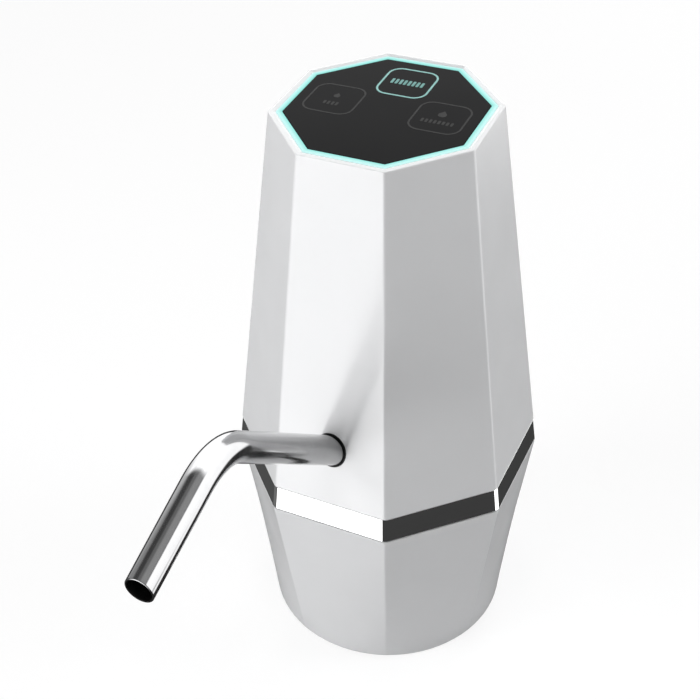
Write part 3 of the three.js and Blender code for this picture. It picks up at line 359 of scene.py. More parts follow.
def piece(obj, body, material=None, stands_for=(), degrees=SMOOTH_BELOW):
    if material is not None:
        obj.data.materials.clear()
        obj.data.materials.append(material)
    shade(obj, degrees)
    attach(obj, body)
    if stands_for:
        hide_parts(*stands_for)
    return obj


# Materials

class Surface:
    """A material and the few nodes that each finish here is made of."""

    def __init__(self, name):
        self.material = bpy.data.materials.new(name)
        self.material.use_nodes = True
        self.tree = self.material.node_tree
        self.shader = self.tree.nodes["Principled BSDF"]
        self.where = self.node("ShaderNodeTexCoord").outputs["Object"]

    def node(self, kind, **values):
        made = self.tree.nodes.new(kind)
        for key, value in values.items():
            setattr(made, key, value)
        return made

    def set(self, **values):
        for key, value in values.items():
            self.shader.inputs[key.replace("_", " ")].default_value = value
        return self

    def link(self, source, target):
        self.tree.links.new(source, target)

    def stretched(self, scale):
        mapping = self.node("ShaderNodeMapping")
        mapping.inputs["Scale"].default_value = scale
        self.link(self.where, mapping.inputs["Vector"])
        return mapping.outputs["Vector"]

    def noise(self, scale, detail=3.0, roughness=0.5, vector=None):
        made = self.node("ShaderNodeTexNoise")
        made.inputs["Scale"].default_value = scale
        made.inputs["Detail"].default_value = detail
        made.inputs["Roughness"].default_value = roughness
        self.link(vector if vector is not None else self.where, made.inputs["Vector"])
        return made.outputs["Fac"]

    def ramp(self, source, low, high, start=0.3, end=0.7):
        made = self.node("ShaderNodeValToRGB")
        made.color_ramp.elements[0].position = start
        made.color_ramp.elements[0].color = low
        made.color_ramp.elements[1].position = end
        made.color_ramp.elements[1].color = high
        self.link(source, made.inputs["Fac"])
        return made.outputs["Color"]

    def spread(self, source, low, high, start=0.3, end=0.7):
        made = self.node("ShaderNodeMapRange")
        made.inputs["From Min"].default_value = start
        made.inputs["From Max"].default_value = end
        made.inputs["To Min"].default_value = low
        made.inputs["To Max"].default_value = high
        self.link(source, made.inputs["Value"])
        return made.outputs["Result"]

    def colour(self, source, low, high):
        self.link(self.ramp(source, low, high), self.shader.inputs["Base Color"])

    def roughness(self, source, low, high):
        self.link(self.spread(source, low, high), self.shader.inputs["Roughness"])

    def bump(self, source, strength, distance):
        made = self.node("ShaderNodeBump")
        made.inputs["Strength"].default_value = strength
        made.inputs["Distance"].default_value = distance
        self.link(source, made.inputs["Height"])
        self.link(made.outputs["Normal"], self.shader.inputs["Normal"])


def rgba(red, green, blue):
    return (red, green, blue, 1.0)


def grey(level):
    return rgba(level, level, level)


# Noise scales are per metre, and these bump depths are in metres
GRAIN_DEPTH = 0.00004
MARK_DEPTH = 0.00003
WIRE_DEPTH = 0.00005


def moulded(name, low, high, rough, ior=1.5, grain=500.0, bump=0.1, gloss=0.5):
    """Injection-moulded plastic: a faint cloudiness, uneven gloss and a fine grain."""
    surface = Surface(name)
    surface.set(IOR=ior, Specular_IOR_Level=gloss)
    surface.colour(surface.noise(35.0, 2.0), low, high)
    surface.roughness(surface.noise(70.0, 4.0), *rough)
    surface.bump(surface.noise(grain, 3.0), bump, GRAIN_DEPTH)
    return surface.material


def metal(name, low, high, rough, stretch=(300.0, 300.0, 300.0), bump=0.05):
    """Metal with fine marks, drawn out along the axis with the smallest stretch."""
    surface = Surface(name)
    surface.set(Metallic=1.0)
    marks = surface.noise(1.0, 5.0, 0.6, surface.stretched(stretch))
    surface.colour(marks, low, high)
    surface.roughness(marks, *rough)
    surface.bump(marks, bump, MARK_DEPTH)
    return surface.material


def rubber(name, low, high):
    surface = Surface(name)
    surface.set(IOR=1.45)
    surface.colour(surface.noise(120.0), low, high)
    surface.roughness(surface.noise(200.0), 0.6, 0.75)
    surface.bump(surface.noise(2500.0), 0.2, GRAIN_DEPTH)
    return surface.material


def soft_clear(name):
    """Milky silicone."""
    surface = Surface(name)
    surface.set(IOR=1.41, Transmission_Weight=0.25, Subsurface_Weight=0.3, Subsurface_Scale=0.002)
    surface.colour(surface.noise(60.0), rgba(0.74, 0.77, 0.79), rgba(0.82, 0.84, 0.85))
    surface.roughness(surface.noise(150.0), 0.38, 0.5)
    surface.bump(surface.noise(1500.0), 0.1, GRAIN_DEPTH)
    return surface.material


def lit_guide():
    """Frosted light guide, deeper in colour beside the panel and paler towards the rim."""
    surface = Surface("lit_guide")
    across = surface.node("ShaderNodeAttribute", attribute_name="across").outputs["Fac"]
    uneven = surface.node("ShaderNodeMath", operation="MULTIPLY_ADD")
    uneven.inputs[1].default_value = 0.12
    surface.link(surface.noise(90.0), uneven.inputs[0])
    surface.link(across, uneven.inputs[2])
    deep = rgba(0.26, 0.74, 0.68)
    pale = rgba(0.6, 0.94, 0.92)
    colour = surface.ramp(uneven.outputs[0], deep, pale, 0.1, 0.95)
    surface.link(colour, surface.shader.inputs["Emission Color"])
    surface.set(Base_Color=rgba(0.02, 0.05, 0.045), Roughness=0.5)
    surface.set(Emission_Strength=0.97, Specular_IOR_Level=0.1)
    return surface.material


def printed(name, low, high, glow):
    """Screen print under the panel's clear face."""
    surface = Surface(name)
    colour = surface.ramp(surface.noise(700.0), low, high)
    surface.link(colour, surface.shader.inputs["Base Color"])
    surface.link(colour, surface.shader.inputs["Emission Color"])
    surface.set(Emission_Strength=glow, Roughness=0.35, Specular_IOR_Level=0.05)
    return surface.material


def circuit_board():
    surface = Surface("circuit_board")
    traces = surface.node("ShaderNodeTexBrick")
    traces.inputs["Scale"].default_value = 90.0
    traces.inputs["Mortar Size"].default_value = 0.03
    traces.inputs["Color1"].default_value = rgba(0.02, 0.16, 0.07)
    traces.inputs["Color2"].default_value = rgba(0.025, 0.19, 0.085)
    traces.inputs["Mortar"].default_value = rgba(0.04, 0.27, 0.12)
    surface.link(surface.where, traces.inputs["Vector"])
    surface.link(traces.outputs["Color"], surface.shader.inputs["Base Color"])
    surface.roughness(surface.noise(300.0), 0.35, 0.5)
    surface.bump(traces.outputs["Fac"], 0.2, MARK_DEPTH)
    return surface.material


def wound_copper():
    surface = Surface("wound_copper")
    surface.set(Metallic=0.9)
    wires = surface.node("ShaderNodeTexWave", bands_direction="Z")
    wires.inputs["Scale"].default_value = 900.0
    wires.inputs["Distortion"].default_value = 0.6
    surface.link(surface.where, wires.inputs["Vector"])
    surface.colour(wires.outputs["Fac"], rgba(0.3, 0.1, 0.04), rgba(0.62, 0.26, 0.11))
    surface.roughness(surface.noise(200.0), 0.3, 0.45)
    surface.bump(wires.outputs["Fac"], 0.4, WIRE_DEPTH)
    return surface.material


WHITE_SHELL = moulded(
    "white_shell", rgba(0.79, 0.795, 0.805), rgba(0.815, 0.82, 0.83),
    (0.2, 0.235), ior=1.85, grain=700.0, bump=0.03,
)
CHROME = metal("chrome", grey(0.86), grey(0.92), (0.035, 0.06), (60.0, 60.0, 60.0), 0.01)
STEEL = metal(
    "spout_steel", rgba(0.42, 0.42, 0.425), rgba(0.47, 0.47, 0.475),
    (0.1, 0.15), (160.0, 160.0, 160.0), 0.015,
)
# Painted shade: the bore is the same steel as the outside, made near black here to stand in for the
# shade inside the tube
PAINTED_SHADE_BORE = metal("spout_bore_painted_shade", grey(0.015), grey(0.03), (0.6, 0.75), (400.0, 400.0, 400.0), 0.02)
PANEL = moulded(
    "panel_black", rgba(0.009, 0.009, 0.0095), rgba(0.011, 0.011, 0.0115),
    (0.12, 0.16), grain=200.0, bump=0.004, gloss=0.02,
)
GUIDE = lit_guide()
KEY_LIT = printed("key_lit", rgba(0.19, 0.37, 0.35), rgba(0.24, 0.43, 0.41), 0.5)
KEY_MARK = printed("key_mark", rgba(0.13, 0.28, 0.26), rgba(0.16, 0.32, 0.3), 0.4)
KEY_DIM = printed("key_dim", grey(0.026), grey(0.032), 0.05)
BLACK_RUBBER = rubber("black_rubber", grey(0.012), grey(0.02))
SILICONE = soft_clear("silicone")
INNER_PLASTIC = moulded("inner_plastic", grey(0.62), grey(0.68), (0.42, 0.55))
DARK_PLASTIC = moulded("dark_plastic", grey(0.02), grey(0.03), (0.4, 0.5))
SCREW_STEEL = metal("screw_steel", grey(0.48), grey(0.6), (0.25, 0.4))
NICKEL = metal(
    "nickel", rgba(0.55, 0.54, 0.52), rgba(0.68, 0.67, 0.65), (0.2, 0.3), (40.0, 40.0, 900.0)
)
BRASS = metal("brass", rgba(0.6, 0.43, 0.16), rgba(0.74, 0.55, 0.22), (0.22, 0.34))
GOLD_CONTACT = metal("gold_contact", rgba(0.75, 0.55, 0.2), rgba(0.85, 0.65, 0.28), (0.15, 0.25))
COPPER = wound_copper()
FERRITE = moulded("ferrite", grey(0.03), grey(0.045), (0.6, 0.75), grain=1500.0, bump=0.3)
CELL_WRAP = moulded(
    "cell_wrap", rgba(0.03, 0.14, 0.34), rgba(0.04, 0.17, 0.4), (0.22, 0.32), grain=300.0
)
BOARD = circuit_board()
LEAD_RED = moulded(
    "lead_red", rgba(0.42, 0.03, 0.02), rgba(0.5, 0.045, 0.03), (0.4, 0.5), grain=700.0, bump=0.08
)

SLOT_MATERIALS = {
    "shell_plastic": WHITE_SHELL,
    "trim_chrome": CHROME,
    "panel_black": PANEL,
    "light_guide": GUIDE,
    "spout_steel": STEEL,
    "black_rubber": BLACK_RUBBER,
    "silicone": SILICONE,
    "inner_plastic": INNER_PLASTIC,
    "dark_plastic": DARK_PLASTIC,
    "screw_steel": SCREW_STEEL,
    "motor_steel": NICKEL,
    "contact_brass": BRASS,
    "winding_copper": COPPER,
    "magnet": FERRITE,
    "cell_can": CELL_WRAP,
    "board": BOARD,
    "lead_plastic": LEAD_RED,
}

for subpart in frame["record"]["subparts"]:
    node = cad[subpart["node"]]
    node.data.materials.clear()
    node.data.materials.append(SLOT_MATERIALS[subpart["material_slot"]])


# Upper shell

def prism_along_y(name, outline, y_low, y_high):
    """A closed prism from an outline of (x, z) places."""
    rings = [[(x, y, z) for x, z in outline] for y in (y_low, y_high)]
    return loft(name, rings)


def stadium(width, height, z_middle, steps=14):
    """An outline of (x, z) places with two round ends."""
    radius = height / 2
    points = []
    for side in (1, -1):
        for step in range(steps + 1):
            turn = -math.pi / 2 + math.pi * step / steps
            x = side * (width / 2 - radius + radius * math.cos(turn))
            points.append((x, z_middle + side * radius * math.sin(turn)))
    return points


def spout_place(across, lift, out):
    """A place in the spout's own frame: across, square to the tube and out along it."""
    rise = SPOUT_RISE
    front = -corner_at(SPOUT_Z) * FLAT
    return (
        across,
        front + lift * math.sin(rise) - out * math.cos(rise),
        SPOUT_Z + lift * math.cos(rise) + out * math.sin(rise),
    )


def spout_cylinder(name, radius, low, high, sides=64):
    rings = []
    for out in (low, high):
        rings.append([
            spout_place(radius * math.cos(turn), radius * math.sin(turn), out)
            for turn in turns(sides)
        ])
    return loft(name, rings)


def upper_shell():
    low = BAND_HIGH + 0.3
    underside = RECESS_FLOOR - 2.6
    window = 23.7
    rings = [body_ring(WALL, low + 0.2)]
    for inset, z in fillet_path([(WALL, low), (0.0, low), (0.0, low + 4.0)], (0, 0.25, 0), 3):
        rings.append(body_ring(inset, z, SHELL_FILLET))
    for share in (0.25, 0.5, 0.75):
        rings.append(body_ring(0.0, low + share * (RIM_Z - low - 6.0), SHELL_FILLET))
    # The rounded shoulder below the rim
    for inset, height, fillet in (
        (0.0, -2.0, SHELL_FILLET),
        (0.0, -0.6, SHELL_FILLET),
        (0.0, -0.42, SHELL_FILLET),
        (0.05, -0.25, 1.35),
        (0.18, -0.15, 1.25),
        (0.38, -0.1, 1.1),
    ):
        rings.append(body_ring_on_slope(inset, height, fillet))
    # The lip's crest, its slope towards the ring and the recess's wall
    lip = fillet_path(
        [
            (29.95, -0.07),
            (29.7, -0.01),
            (28.7, -0.47),
            (RECESS_CORNER, -0.6),
            (RECESS_CORNER, RECESS_FLOOR),
        ],
        (0, 0.25, 0.05, 0, 0), 4,
    )
    for corner, height in lip:
        rings.append(top_ring(corner, height))
    rings.append(top_ring(window, RECESS_FLOOR))
    rings.append(top_ring(window, underside))
    rings.append(body_ring_on_slope(WALL, underside))
    shell = loft("shell_upper", rings, closed=True)
    slot = prism_along_y("slot", stadium(9.5, 3.8, SOCKET_Z), 34.0, 46.0)
    hole = spout_cylinder("hole", 4.7, -9.0, 9.0)
    cut(shell, [slot, hole])
    bevel(shell, 0.22, 55.0)
    return piece(shell, "body", WHITE_SHELL, ["upper_shell"], 20.0)


upper_shell()


# Trim band

def trim_band():
    low = BAND_LOW + 0.02
    high = BAND_HIGH + 0.28
    corners = [(0.0, low), (0.0, high), (WALL, high), (WALL, low)]
    section = fillet_path(corners, (0.2, 0.05, 0.1, 0.1), 4, closed=True)
    rings = [body_ring(inset, z, BAND_FILLET, True) for inset, z in section]
    band = loft("band", rings, closed=True)
    return piece(band, "body", CHROME, ["trim_band"], 18.0)


trim_band()


# Lower shell, with the cup for the jug's neck

def lower_shell():
    high = BAND_LOW
    levels = 24
    edge = high - 0.6
    foot_edge = 1.4
    groove_floor = high - 0.38
    cup_outside = 31.0
    roof_top = 38.6
    foot_inside = 2.4
    # The groove below the band, then the outside down to the foot
    rings = [skirt_ring(WALL, high), skirt_ring(0.8, high), skirt_ring(0.8, groove_floor)]
    rings += [skirt_ring(0.15, groove_floor), skirt_ring(0.04, high - 0.44), skirt_ring(0.0, edge)]
    for level in range(1, levels):
        rings.append(skirt_ring(0.0, edge + (foot_edge - edge) * level / levels))
    foot = [(0.0, foot_edge), (0.0, 0.0), (3.0, 0.0)]
    for inset, z in fillet_path(foot, (0, 0.9, 0), 5):
        rings.append(skirt_ring(inset, z))
    # The cup's mouth, wall and roof
    mouth = [
        (30.0, 0.0),
        (MOUTH_RADIUS, 0.0),
        (MOUTH_RADIUS, MOUTH_HEIGHT),
        (CUP_RADIUS, MOUTH_HEIGHT),
    ]
    for radius, z in fillet_path(mouth, (0, 0.5, 0.3, 0), 4):
        rings.append(round_ring(radius, z))
    cup = [(CUP_RADIUS, MOUTH_HEIGHT), (CUP_RADIUS, CUP_ROOF), (12.0, CUP_ROOF)]
    for radius, z in fillet_path(cup, (0, 0.6, 0), 4):
        rings.append(round_ring(radius, z))
    # The inside of the shell, round the cup
    rings.append(round_ring(0.01, CUP_ROOF))
    rings.append(round_ring(0.01, roof_top))
    rings.append(round_ring(cup_outside, roof_top))
    rings.append(round_ring(cup_outside, foot_inside))
    rings.append(skirt_ring(WALL, foot_inside))
    rings.append(skirt_ring(WALL, high / 2))
    shell = loft("shell_lower", rings, closed=True)
    return piece(shell, "body", WHITE_SHELL, ["lower_shell"], 22.0)


lower_shell()


# Sleeve, fitting and screws inside the cup

def neck_seal():
    outer = 28.7
    inner = 27.6
    low = MOUTH_HEIGHT
    high = 33.0
    rib_reach = 0.6
    rib_half = 1.4
    section = [(outer, low), (outer, high), (inner, high)]
    radii = [0.2, 0.2, 0.3]
    for share in (0.8, 0.5, 0.2):
        z = low + share * (high - low)
        section += [(inner, z + rib_half), (inner - rib_reach, z), (inner, z - rib_half)]
        radii += [0.5, 0.5, 0.5]
    section.append((inner, low))
    radii.append(0.3)
    seal = lathe("sleeve", fillet_path(section, radii, 4, closed=True), 128)
    return piece(seal, "body", SILICONE, ["neck_seal"])


def inlet_fitting():
    """Barbs for the dip tube below, the flange under the cup's roof and the hose's stub above."""
    # Radius and height of each corner of the section, and its fillet
    corners = (
        (1.5, 23.3, 0.1),
        (2.7, 23.3, 0.25),
        (3.45, 25.6, 0.08),
        (3.05, 25.7, 0.1),
        (3.5, 28.4, 0.08),
        (3.1, 28.5, 0.1),
        (3.55, 31.2, 0.08),
        (3.2, 31.3, 0.1),
        (3.2, 34.3, 0.3),
        (5.0, 34.3, 0.25),
        (5.0, 35.7, 0.2),
        (3.6, 35.7, 0.1),
        (3.6, 41.7, 0.2),
        (2.35, 41.7, 0.2),
        (2.35, 48.6, 0.3),
        (1.9, 49.2, 0.2),
        (1.5, 49.2, 0.1),
    )
    section = [(radius, z) for radius, z, _ in corners]
    fillets = [fillet for _, _, fillet in corners]
    fitting = lathe("fitting", fillet_path(section, fillets, 3, closed=True), 64, (8.8, 8.0, 0.0))
    return piece(fitting, "body", INNER_PLASTIC, ["inlet_fitting"])


def cross_screw(name, x, y, top, head, head_height, shank, length, node):
    """A pan-head screw that points up, with a cross recess in the head below."""
    section = fillet_path(
        [
            (0.02, -head_height),
            (head * 0.75, -head_height),
            (head, -0.35 * head_height),
            (head, 0.0),
            (shank, 0.0),
            (shank, length - 1.2),
            (0.02, length),
        ],
        (0, 0.5 * head_height, 0.25 * head_height, 0.12, 0.1, 0.2, 0), 4,
    )
    screw = lathe(name, section, 40, (x, y, top), closed=False)
    long, narrow = head * 1.15, head * 0.26
    low = top - head_height - 1.0
    high = top - head_height * 0.4
    cutters = []
    for width, depth in ((long, narrow), (narrow, long)):
        corners = rectangle(x, y, width, depth)
        cutters.append(loft("recess", [[(px, py, z) for px, py in corners] for z in (low, high)]))
    cut(screw, cutters)
    bevel(screw, 0.06, 50.0, 2)
    return piece(screw, "body", SCREW_STEEL, [node])


neck_seal()
inlet_fitting()
for i in range(3):
    turn = math.radians(60.0 + 120.0 * i)
    cross_screw(
        f"cup_screw_{i + 1}", 20 * math.cos(turn), 20 * math.sin(turn), top=35.7, head=2.6,
        head_height=1.6, shank=1.2, length=14.0, node=f"base_screw_{i + 1}",
    )


# Spout

ROOT_RADIUS = 4.2
TIP_RADIUS = 3.55
TUBE_WALL = 0.55
RISE_LENGTH = 71.2
DROP_LENGTH = 36.4
BEND_RADIUS = 18.8
INSERT = 20.0
TIP_SLANT = math.tan(math.radians(13.7))
TUBE_SIDES = 64
RISE_STEPS = 12
BEND_STEPS = 32
DROP_STEPS = 8
TIP_STEPS = 4


def spout_line():
    """Stations from the hidden end to the tip: lift, out, turn and share of the length."""
    tangent = BEND_RADIUS * math.tan(SPOUT_BEND / 2)
    straight = RISE_LENGTH - tangent
    arc = BEND_RADIUS * SPOUT_BEND
    last = DROP_LENGTH - tangent
    total = straight + arc + last
    line = [(0.0, -INSERT, 0.0, 0.0)]
    for step in range(RISE_STEPS + 1):
        reach = straight * step / RISE_STEPS
        line.append((0.0, reach, 0.0, reach / total))
    for step in range(1, BEND_STEPS + 1):
        turn = SPOUT_BEND * step / BEND_STEPS
        line.append((
            -BEND_RADIUS * (1 - math.cos(turn)),
            straight + BEND_RADIUS * math.sin(turn),
            turn,
            (straight + BEND_RADIUS * turn) / total,
        ))
    lift, out, _, _ = line[-1]
    for step in range(1, DROP_STEPS + 1):
        reach = last * step / DROP_STEPS
        line.append((
            lift - reach * math.sin(SPOUT_BEND),
            out + reach * math.cos(SPOUT_BEND),
            SPOUT_BEND,
            (straight + arc + reach) / total,
        ))
    return line


def tube_radius(station):
    return ROOT_RADIUS + (TIP_RADIUS - ROOT_RADIUS) * station[3]


def tube_ring(station, radius, back=0.0, slant=0.0):
    """A ring of the tube; back sets it back along the tube, and slant tilts it."""
    lift, out, turn, _ = station
    ring = []
    for angle in turns(TUBE_SIDES):
        across = radius * math.cos(angle)
        square = radius * math.sin(angle)
        back_here = back + slant * square
        ring.append(spout_place(
            across,
            lift + square * math.cos(turn) + back_here * math.sin(turn),
            out + square * math.sin(turn) - back_here * math.cos(turn),
        ))
    return ring


def spout_tube():
    line = spout_line()
    rings = [tube_ring(station, tube_radius(station)) for station in line[:-1]]
    bore = TIP_RADIUS - TUBE_WALL
    corners = [(TIP_RADIUS, 3.0), (TIP_RADIUS, 0.0), (bore, 0.0), (bore, 3.0)]
    rim = fillet_path(corners, (0, 0.22, 0.22, 0), TIP_STEPS)
    for radius, back in rim[1:-1]:
        rings.append(tube_ring(line[-1], radius, back, TIP_SLANT))
    for station in reversed(line[:-1]):
        rings.append(tube_ring(station, tube_radius(station) - TUBE_WALL))
    tube = loft("spout", rings, closed=True)
    piece(tube, "spout", STEEL, ["spout_tube"], 40.0)
    tube.data.materials.append(PAINTED_SHADE_BORE)
    # Rows of faces up to the end of the rim's outer rounding are steel; the rim's inner rounding
    # and the bore get the near black metal, which is painted shade inside the tube
    outside = len(line) + TIP_STEPS
    for face in tube.data.polygons:
        face.material_index = int(face.index // TUBE_SIDES >= outside)
    return tube


spout_tube()


def grommet():
    """Black ring in the front side, its face parallel to that side."""
    lean = math.atan(-SLOPE * FLAT)
    toward_side = math.cos(SPOUT_RISE - lean)
    square = math.sin(lean - SPOUT_RISE)
    inner = ROOT_RADIUS + 0.06
    outer = 4.65
    proud = 0.16
    depth = 5.0
    section = fillet_path(
        [(inner, -depth), (inner, proud), (outer, proud), (outer, -depth)], (0, 0.1, 0.15, 0), 4
    )
    rings = []
    for radius, height in section:
        ring = []
        for angle in turns(72):
            lift = radius * math.sin(angle)
            out = (height - lift * square) / toward_side
            ring.append(spout_place(radius * math.cos(angle), lift, out))
        rings.append(ring)
    ring = loft("grommet", rings, closed=True)
    return piece(ring, "body", BLACK_RUBBER, ["spout_grommet"], 30.0)


grommet()


# Top: light guide, panel and printed keys

def light_guide():
    face = 27.05
    ledge = 20.7
    underside = -3.4
    section = fillet_path(
        [
            (GUIDE_CORNER, underside),
            (GUIDE_CORNER, -0.25),
            (face, -0.28),
            (face, -2.0),
            (ledge, -2.1),
            (ledge, underside),
        ],
        (0, 0.15, 0.12, 0, 0, 0), 3, closed=True,
    )
    rings = [top_ring(corner, height, TOP_FILLET) for corner, height in section]
    guide = loft("guide", rings, closed=True)
    piece(guide, "body", GUIDE, ["light_guide"], 30.0)
    # How far each point is across the ring, for the colour
    glow_width = 1.7
    across = guide.data.attributes.new("across", "FLOAT", "POINT")
    for i, vertex in enumerate(guide.data.vertices):
        x, y = vertex.co.x / MM, vertex.co.y / MM
        turn = math.atan2(y, x) % (2 * HALF)
        reach = math.hypot(x, y) * math.cos(turn - (0 if turn < HALF else 2 * HALF)) / FLAT
        across.data[i].value = min(1.0, max(0.0, (reach - PANEL_CORNER) / glow_width))
    return guide


def touch_panel():
    underside = -1.8
    middle = 0.2
    edge = 26.6
    section = fillet_path(
        [
            (middle, underside),
            (edge, underside),
            (PANEL_CORNER, underside),
            (PANEL_CORNER, FACE),
            (edge, FACE),
            (middle, FACE),
        ],
        (0, 0, 0.15, 0.2, 0, 0), 4,
    )
    rings = [top_ring(corner, height, min(TOP_FILLET, corner / 4)) for corner, height in section]
    panel = loft("panel", rings)
    return piece(panel, "body", PANEL, ["touch_panel"], 30.0)


light_guide()
touch_panel()

PRINT = 0.03  # how thick the print on the panel is


def rounded_box(width, depth, radius, steps=8):
    """An outline of (x, y) places round the origin."""
    points = []
    for side_x, side_y, start in ((1, 1, 0.0), (-1, 1, 90.0), (-1, -1, 180.0), (1, -1, 270.0)):
        middle_x = side_x * (width / 2 - radius)
        middle_y = side_y * (depth / 2 - radius)
        for step in range(steps + 1):
            turn = math.radians(start + 90.0 * step / steps)
            points.append((middle_x + radius * math.cos(turn), middle_y + radius * math.sin(turn)))
    return points


def printed_ring(name, x, y, width, depth, radius, line, material):
    inner = rounded_box(width - 2 * line, depth - 2 * line, radius - line)
    outer = rounded_box(width, depth, radius)
    top = FACE + PRINT
    rings = []
    for outline, height in ((outer, FACE), (outer, top), (inner, top), (inner, FACE)):
        rings.append([from_top(x + px, y + py, height) for px, py in outline])
    obj = loft(name, rings, closed=True)
    return piece(obj, "body", material)


def printed_shape(name, x, y, outline, material):
    rings = []
    for height in (FACE, FACE + PRINT):
        rings.append([from_top(x + px, y + py, height) for px, py in outline])
    obj = loft(name, rings)
    return piece(obj, "body", material)


def drop_outline(size, steps=18):
    """A water drop with its point towards the back of the panel."""
    points = [(0.0, size)]
    for step in range(steps + 1):
        turn = math.radians(141.0 + 258.0 * step / steps)
        points.append((0.68 * size * math.cos(turn), -0.1 * size + 0.68 * size * math.sin(turn)))
    return points


BACK_KEY_Y = 14.1
SIDE_KEY_X = 14.8
KEYS = (
    ("key_back", 0.0, BACK_KEY_Y, KEY_LIT, 0.55),
    ("key_left", -SIDE_KEY_X, 0.0, KEY_DIM, 0.5),
    ("key_right", SIDE_KEY_X, 0.0, KEY_DIM, 0.5),
)
for name, x, y, material, line in KEYS:
    printed_ring(name, x, y, 14.35, 14.6, 3.6, line, material)

# Marks in place of the words: a row of bars, and on the side keys a drop over it
for i in range(8):
    bar = rounded_box(0.75, 2.5, 0.25, 3)
    printed_shape(f"key_back_bar_{i + 1}", -4.2 + 1.2 * i, BACK_KEY_Y, bar, KEY_MARK)
for side, x, size, bars in (("left", -SIDE_KEY_X, 1.3, 4), ("right", SIDE_KEY_X, 1.7, 8)):
    printed_shape(f"key_{side}_drop", x, 1.7, drop_outline(size), KEY_DIM)
    for i in range(bars):
        across = x + 1.15 * (i - (bars - 1) / 2)
        bar = rounded_box(0.7, 1.7, 0.25, 3)
        printed_shape(f"key_{side}_bar_{i + 1}", across, -2.3, bar, KEY_DIM)


# Charging socket in the rear side

def usb_socket():
    front = 39.98
    low = 32.2
    outer = stadium(8.9, 3.2, SOCKET_Z)
    inner = stadium(8.2, 2.5, SOCKET_Z)
    # Half way between the two outlines, the crest of the can's rolled edge
    crest = [((ax + bx) / 2, (az + bz) / 2) for (ax, az), (bx, bz) in zip(outer, inner)]
    rings = []
    for outline, y in (
        (outer, low),
        (outer, front - 0.12),
        (crest, front),
        (inner, front - 0.12),
        (inner, low + 1.2),
    ):
        rings.append([(x, y, z) for x, z in outline])
    can = loft("can", rings)
    shade(can, 40.0)
    can.data.materials.append(NICKEL)
    tongue = prism_along_y("tongue", rectangle(0.0, SOCKET_Z, 6.4, 0.7), low + 1.0, front - 0.9)
    bevel(tongue, 0.12)
    shade(tongue, 40.0)
    tongue.data.materials.append(DARK_PLASTIC)
    parts = [can, tongue]
    for row in (-1, 1):
        for i in range(6):
            outline = rectangle(-2.25 + 0.9 * i, SOCKET_Z + row * 0.37, 0.4, 0.06)
            strip = prism_along_y("strip", outline, low + 1.2, front - 1.3)
            strip.data.materials.append(GOLD_CONTACT)
            parts.append(strip)
    whole = join(parts, "charging_socket")
    return piece(whole, "body", None, ["usb_socket"], 40.0)


usb_socket()


# Camera

def toward(azimuth, elevation):
    """A direction from the pump; azimuth 0 is in front of the spout and 90 on the right."""
    a, e = math.radians(azimuth), math.radians(elevation)
    return math.sin(a) * math.cos(e), -math.cos(a) * math.cos(e), math.sin(e)


AZIMUTH = 25.697
ELEVATION = 36.908
ROLL = math.radians(1.479)
FRAME_PIXELS = 700.0
FOCAL_PIXELS = 1204.465
SENSOR = 36.0

back = Vector(toward(AZIMUTH, ELEVATION))
right = Vector((math.cos(math.radians(AZIMUTH)), math.sin(math.radians(AZIMUTH)), 0.0))
up = back.cross(right)
# The camera's place, as multiples of the body's largest corner radius
offset = (back * 8.353 - right * 0.238 + up * 0.827) * WIDE_CORNER
place = Vector((0, 0, WIDE_CORNER)) + offset
turned_right = right * math.cos(ROLL) - up * math.sin(ROLL)
turned_up = right * math.sin(ROLL) + up * math.cos(ROLL)
lens = bpy.data.cameras.new("camera")
lens.sensor_width = SENSOR
lens.lens = FOCAL_PIXELS / FRAME_PIXELS * SENSOR
lens.clip_start = 0.01
lens.clip_end = 50.0
camera = bpy.data.objects.new("camera", lens)
bpy.context.scene.collection.objects.link(camera)
axes = Matrix((turned_right, turned_up, back)).transposed().to_4x4()
camera.matrix_world = Matrix.Translation(place * MM) @ axes
bpy.context.scene.camera = camera


# Floor

BACKGROUND = 0.985  # what the camera sees of the world and of the far floor
NEAR = 0.4  # metres from the pump, where the floor starts to change, and where it has changed
FAR = 1.3


def floor_material():
    """Lit and shadowed near the pump, and for the camera's rays plain background further out."""
    surface = Surface("floor")
    surface.set(Roughness=0.9, Specular_IOR_Level=0.0)
    surface.colour(surface.noise(3.0), rgba(0.8, 0.8, 0.805), rgba(0.82, 0.82, 0.825))
    reach = surface.node("ShaderNodeVectorMath", operation="LENGTH")
    surface.link(surface.where, reach.inputs[0])
    away = reach.outputs["Value"]
    glow = surface.node("ShaderNodeEmission")
    surface.link(surface.spread(away, 1.12, BACKGROUND, NEAR, FAR), glow.inputs["Strength"])
    seen = surface.node("ShaderNodeLightPath").outputs["Is Camera Ray"]
    share = surface.node("ShaderNodeMath", operation="MULTIPLY")
    surface.link(surface.spread(away, 0.72, 1.0, NEAR, FAR), share.inputs[1])
    surface.link(seen, share.inputs[0])
    mix = surface.node("ShaderNodeMixShader")
    surface.link(share.outputs[0], mix.inputs["Fac"])
    surface.link(surface.shader.outputs["BSDF"], mix.inputs[1])
    surface.link(glow.outputs["Emission"], mix.inputs[2])
    output = surface.tree.nodes["Material Output"]
    surface.link(mix.outputs["Shader"], output.inputs["Surface"])
    return surface.material


FLOOR_SIZE = 8000
FLOOR_Z = -0.2
corners = [(x, y, FLOOR_Z) for x, y in rectangle(0, 0, FLOOR_SIZE, FLOOR_SIZE)]
floor = new_object("floor", corners, [(0, 1, 2, 3)])
floor.data.materials.append(floor_material())
floor.visible_glossy = False


# Lamps

LAMP_DISTANCE = 1.3  # metres, as are the next two
LAMP_SIZE = 0.5
LAMP_AIM = (0, 0, 0.09)
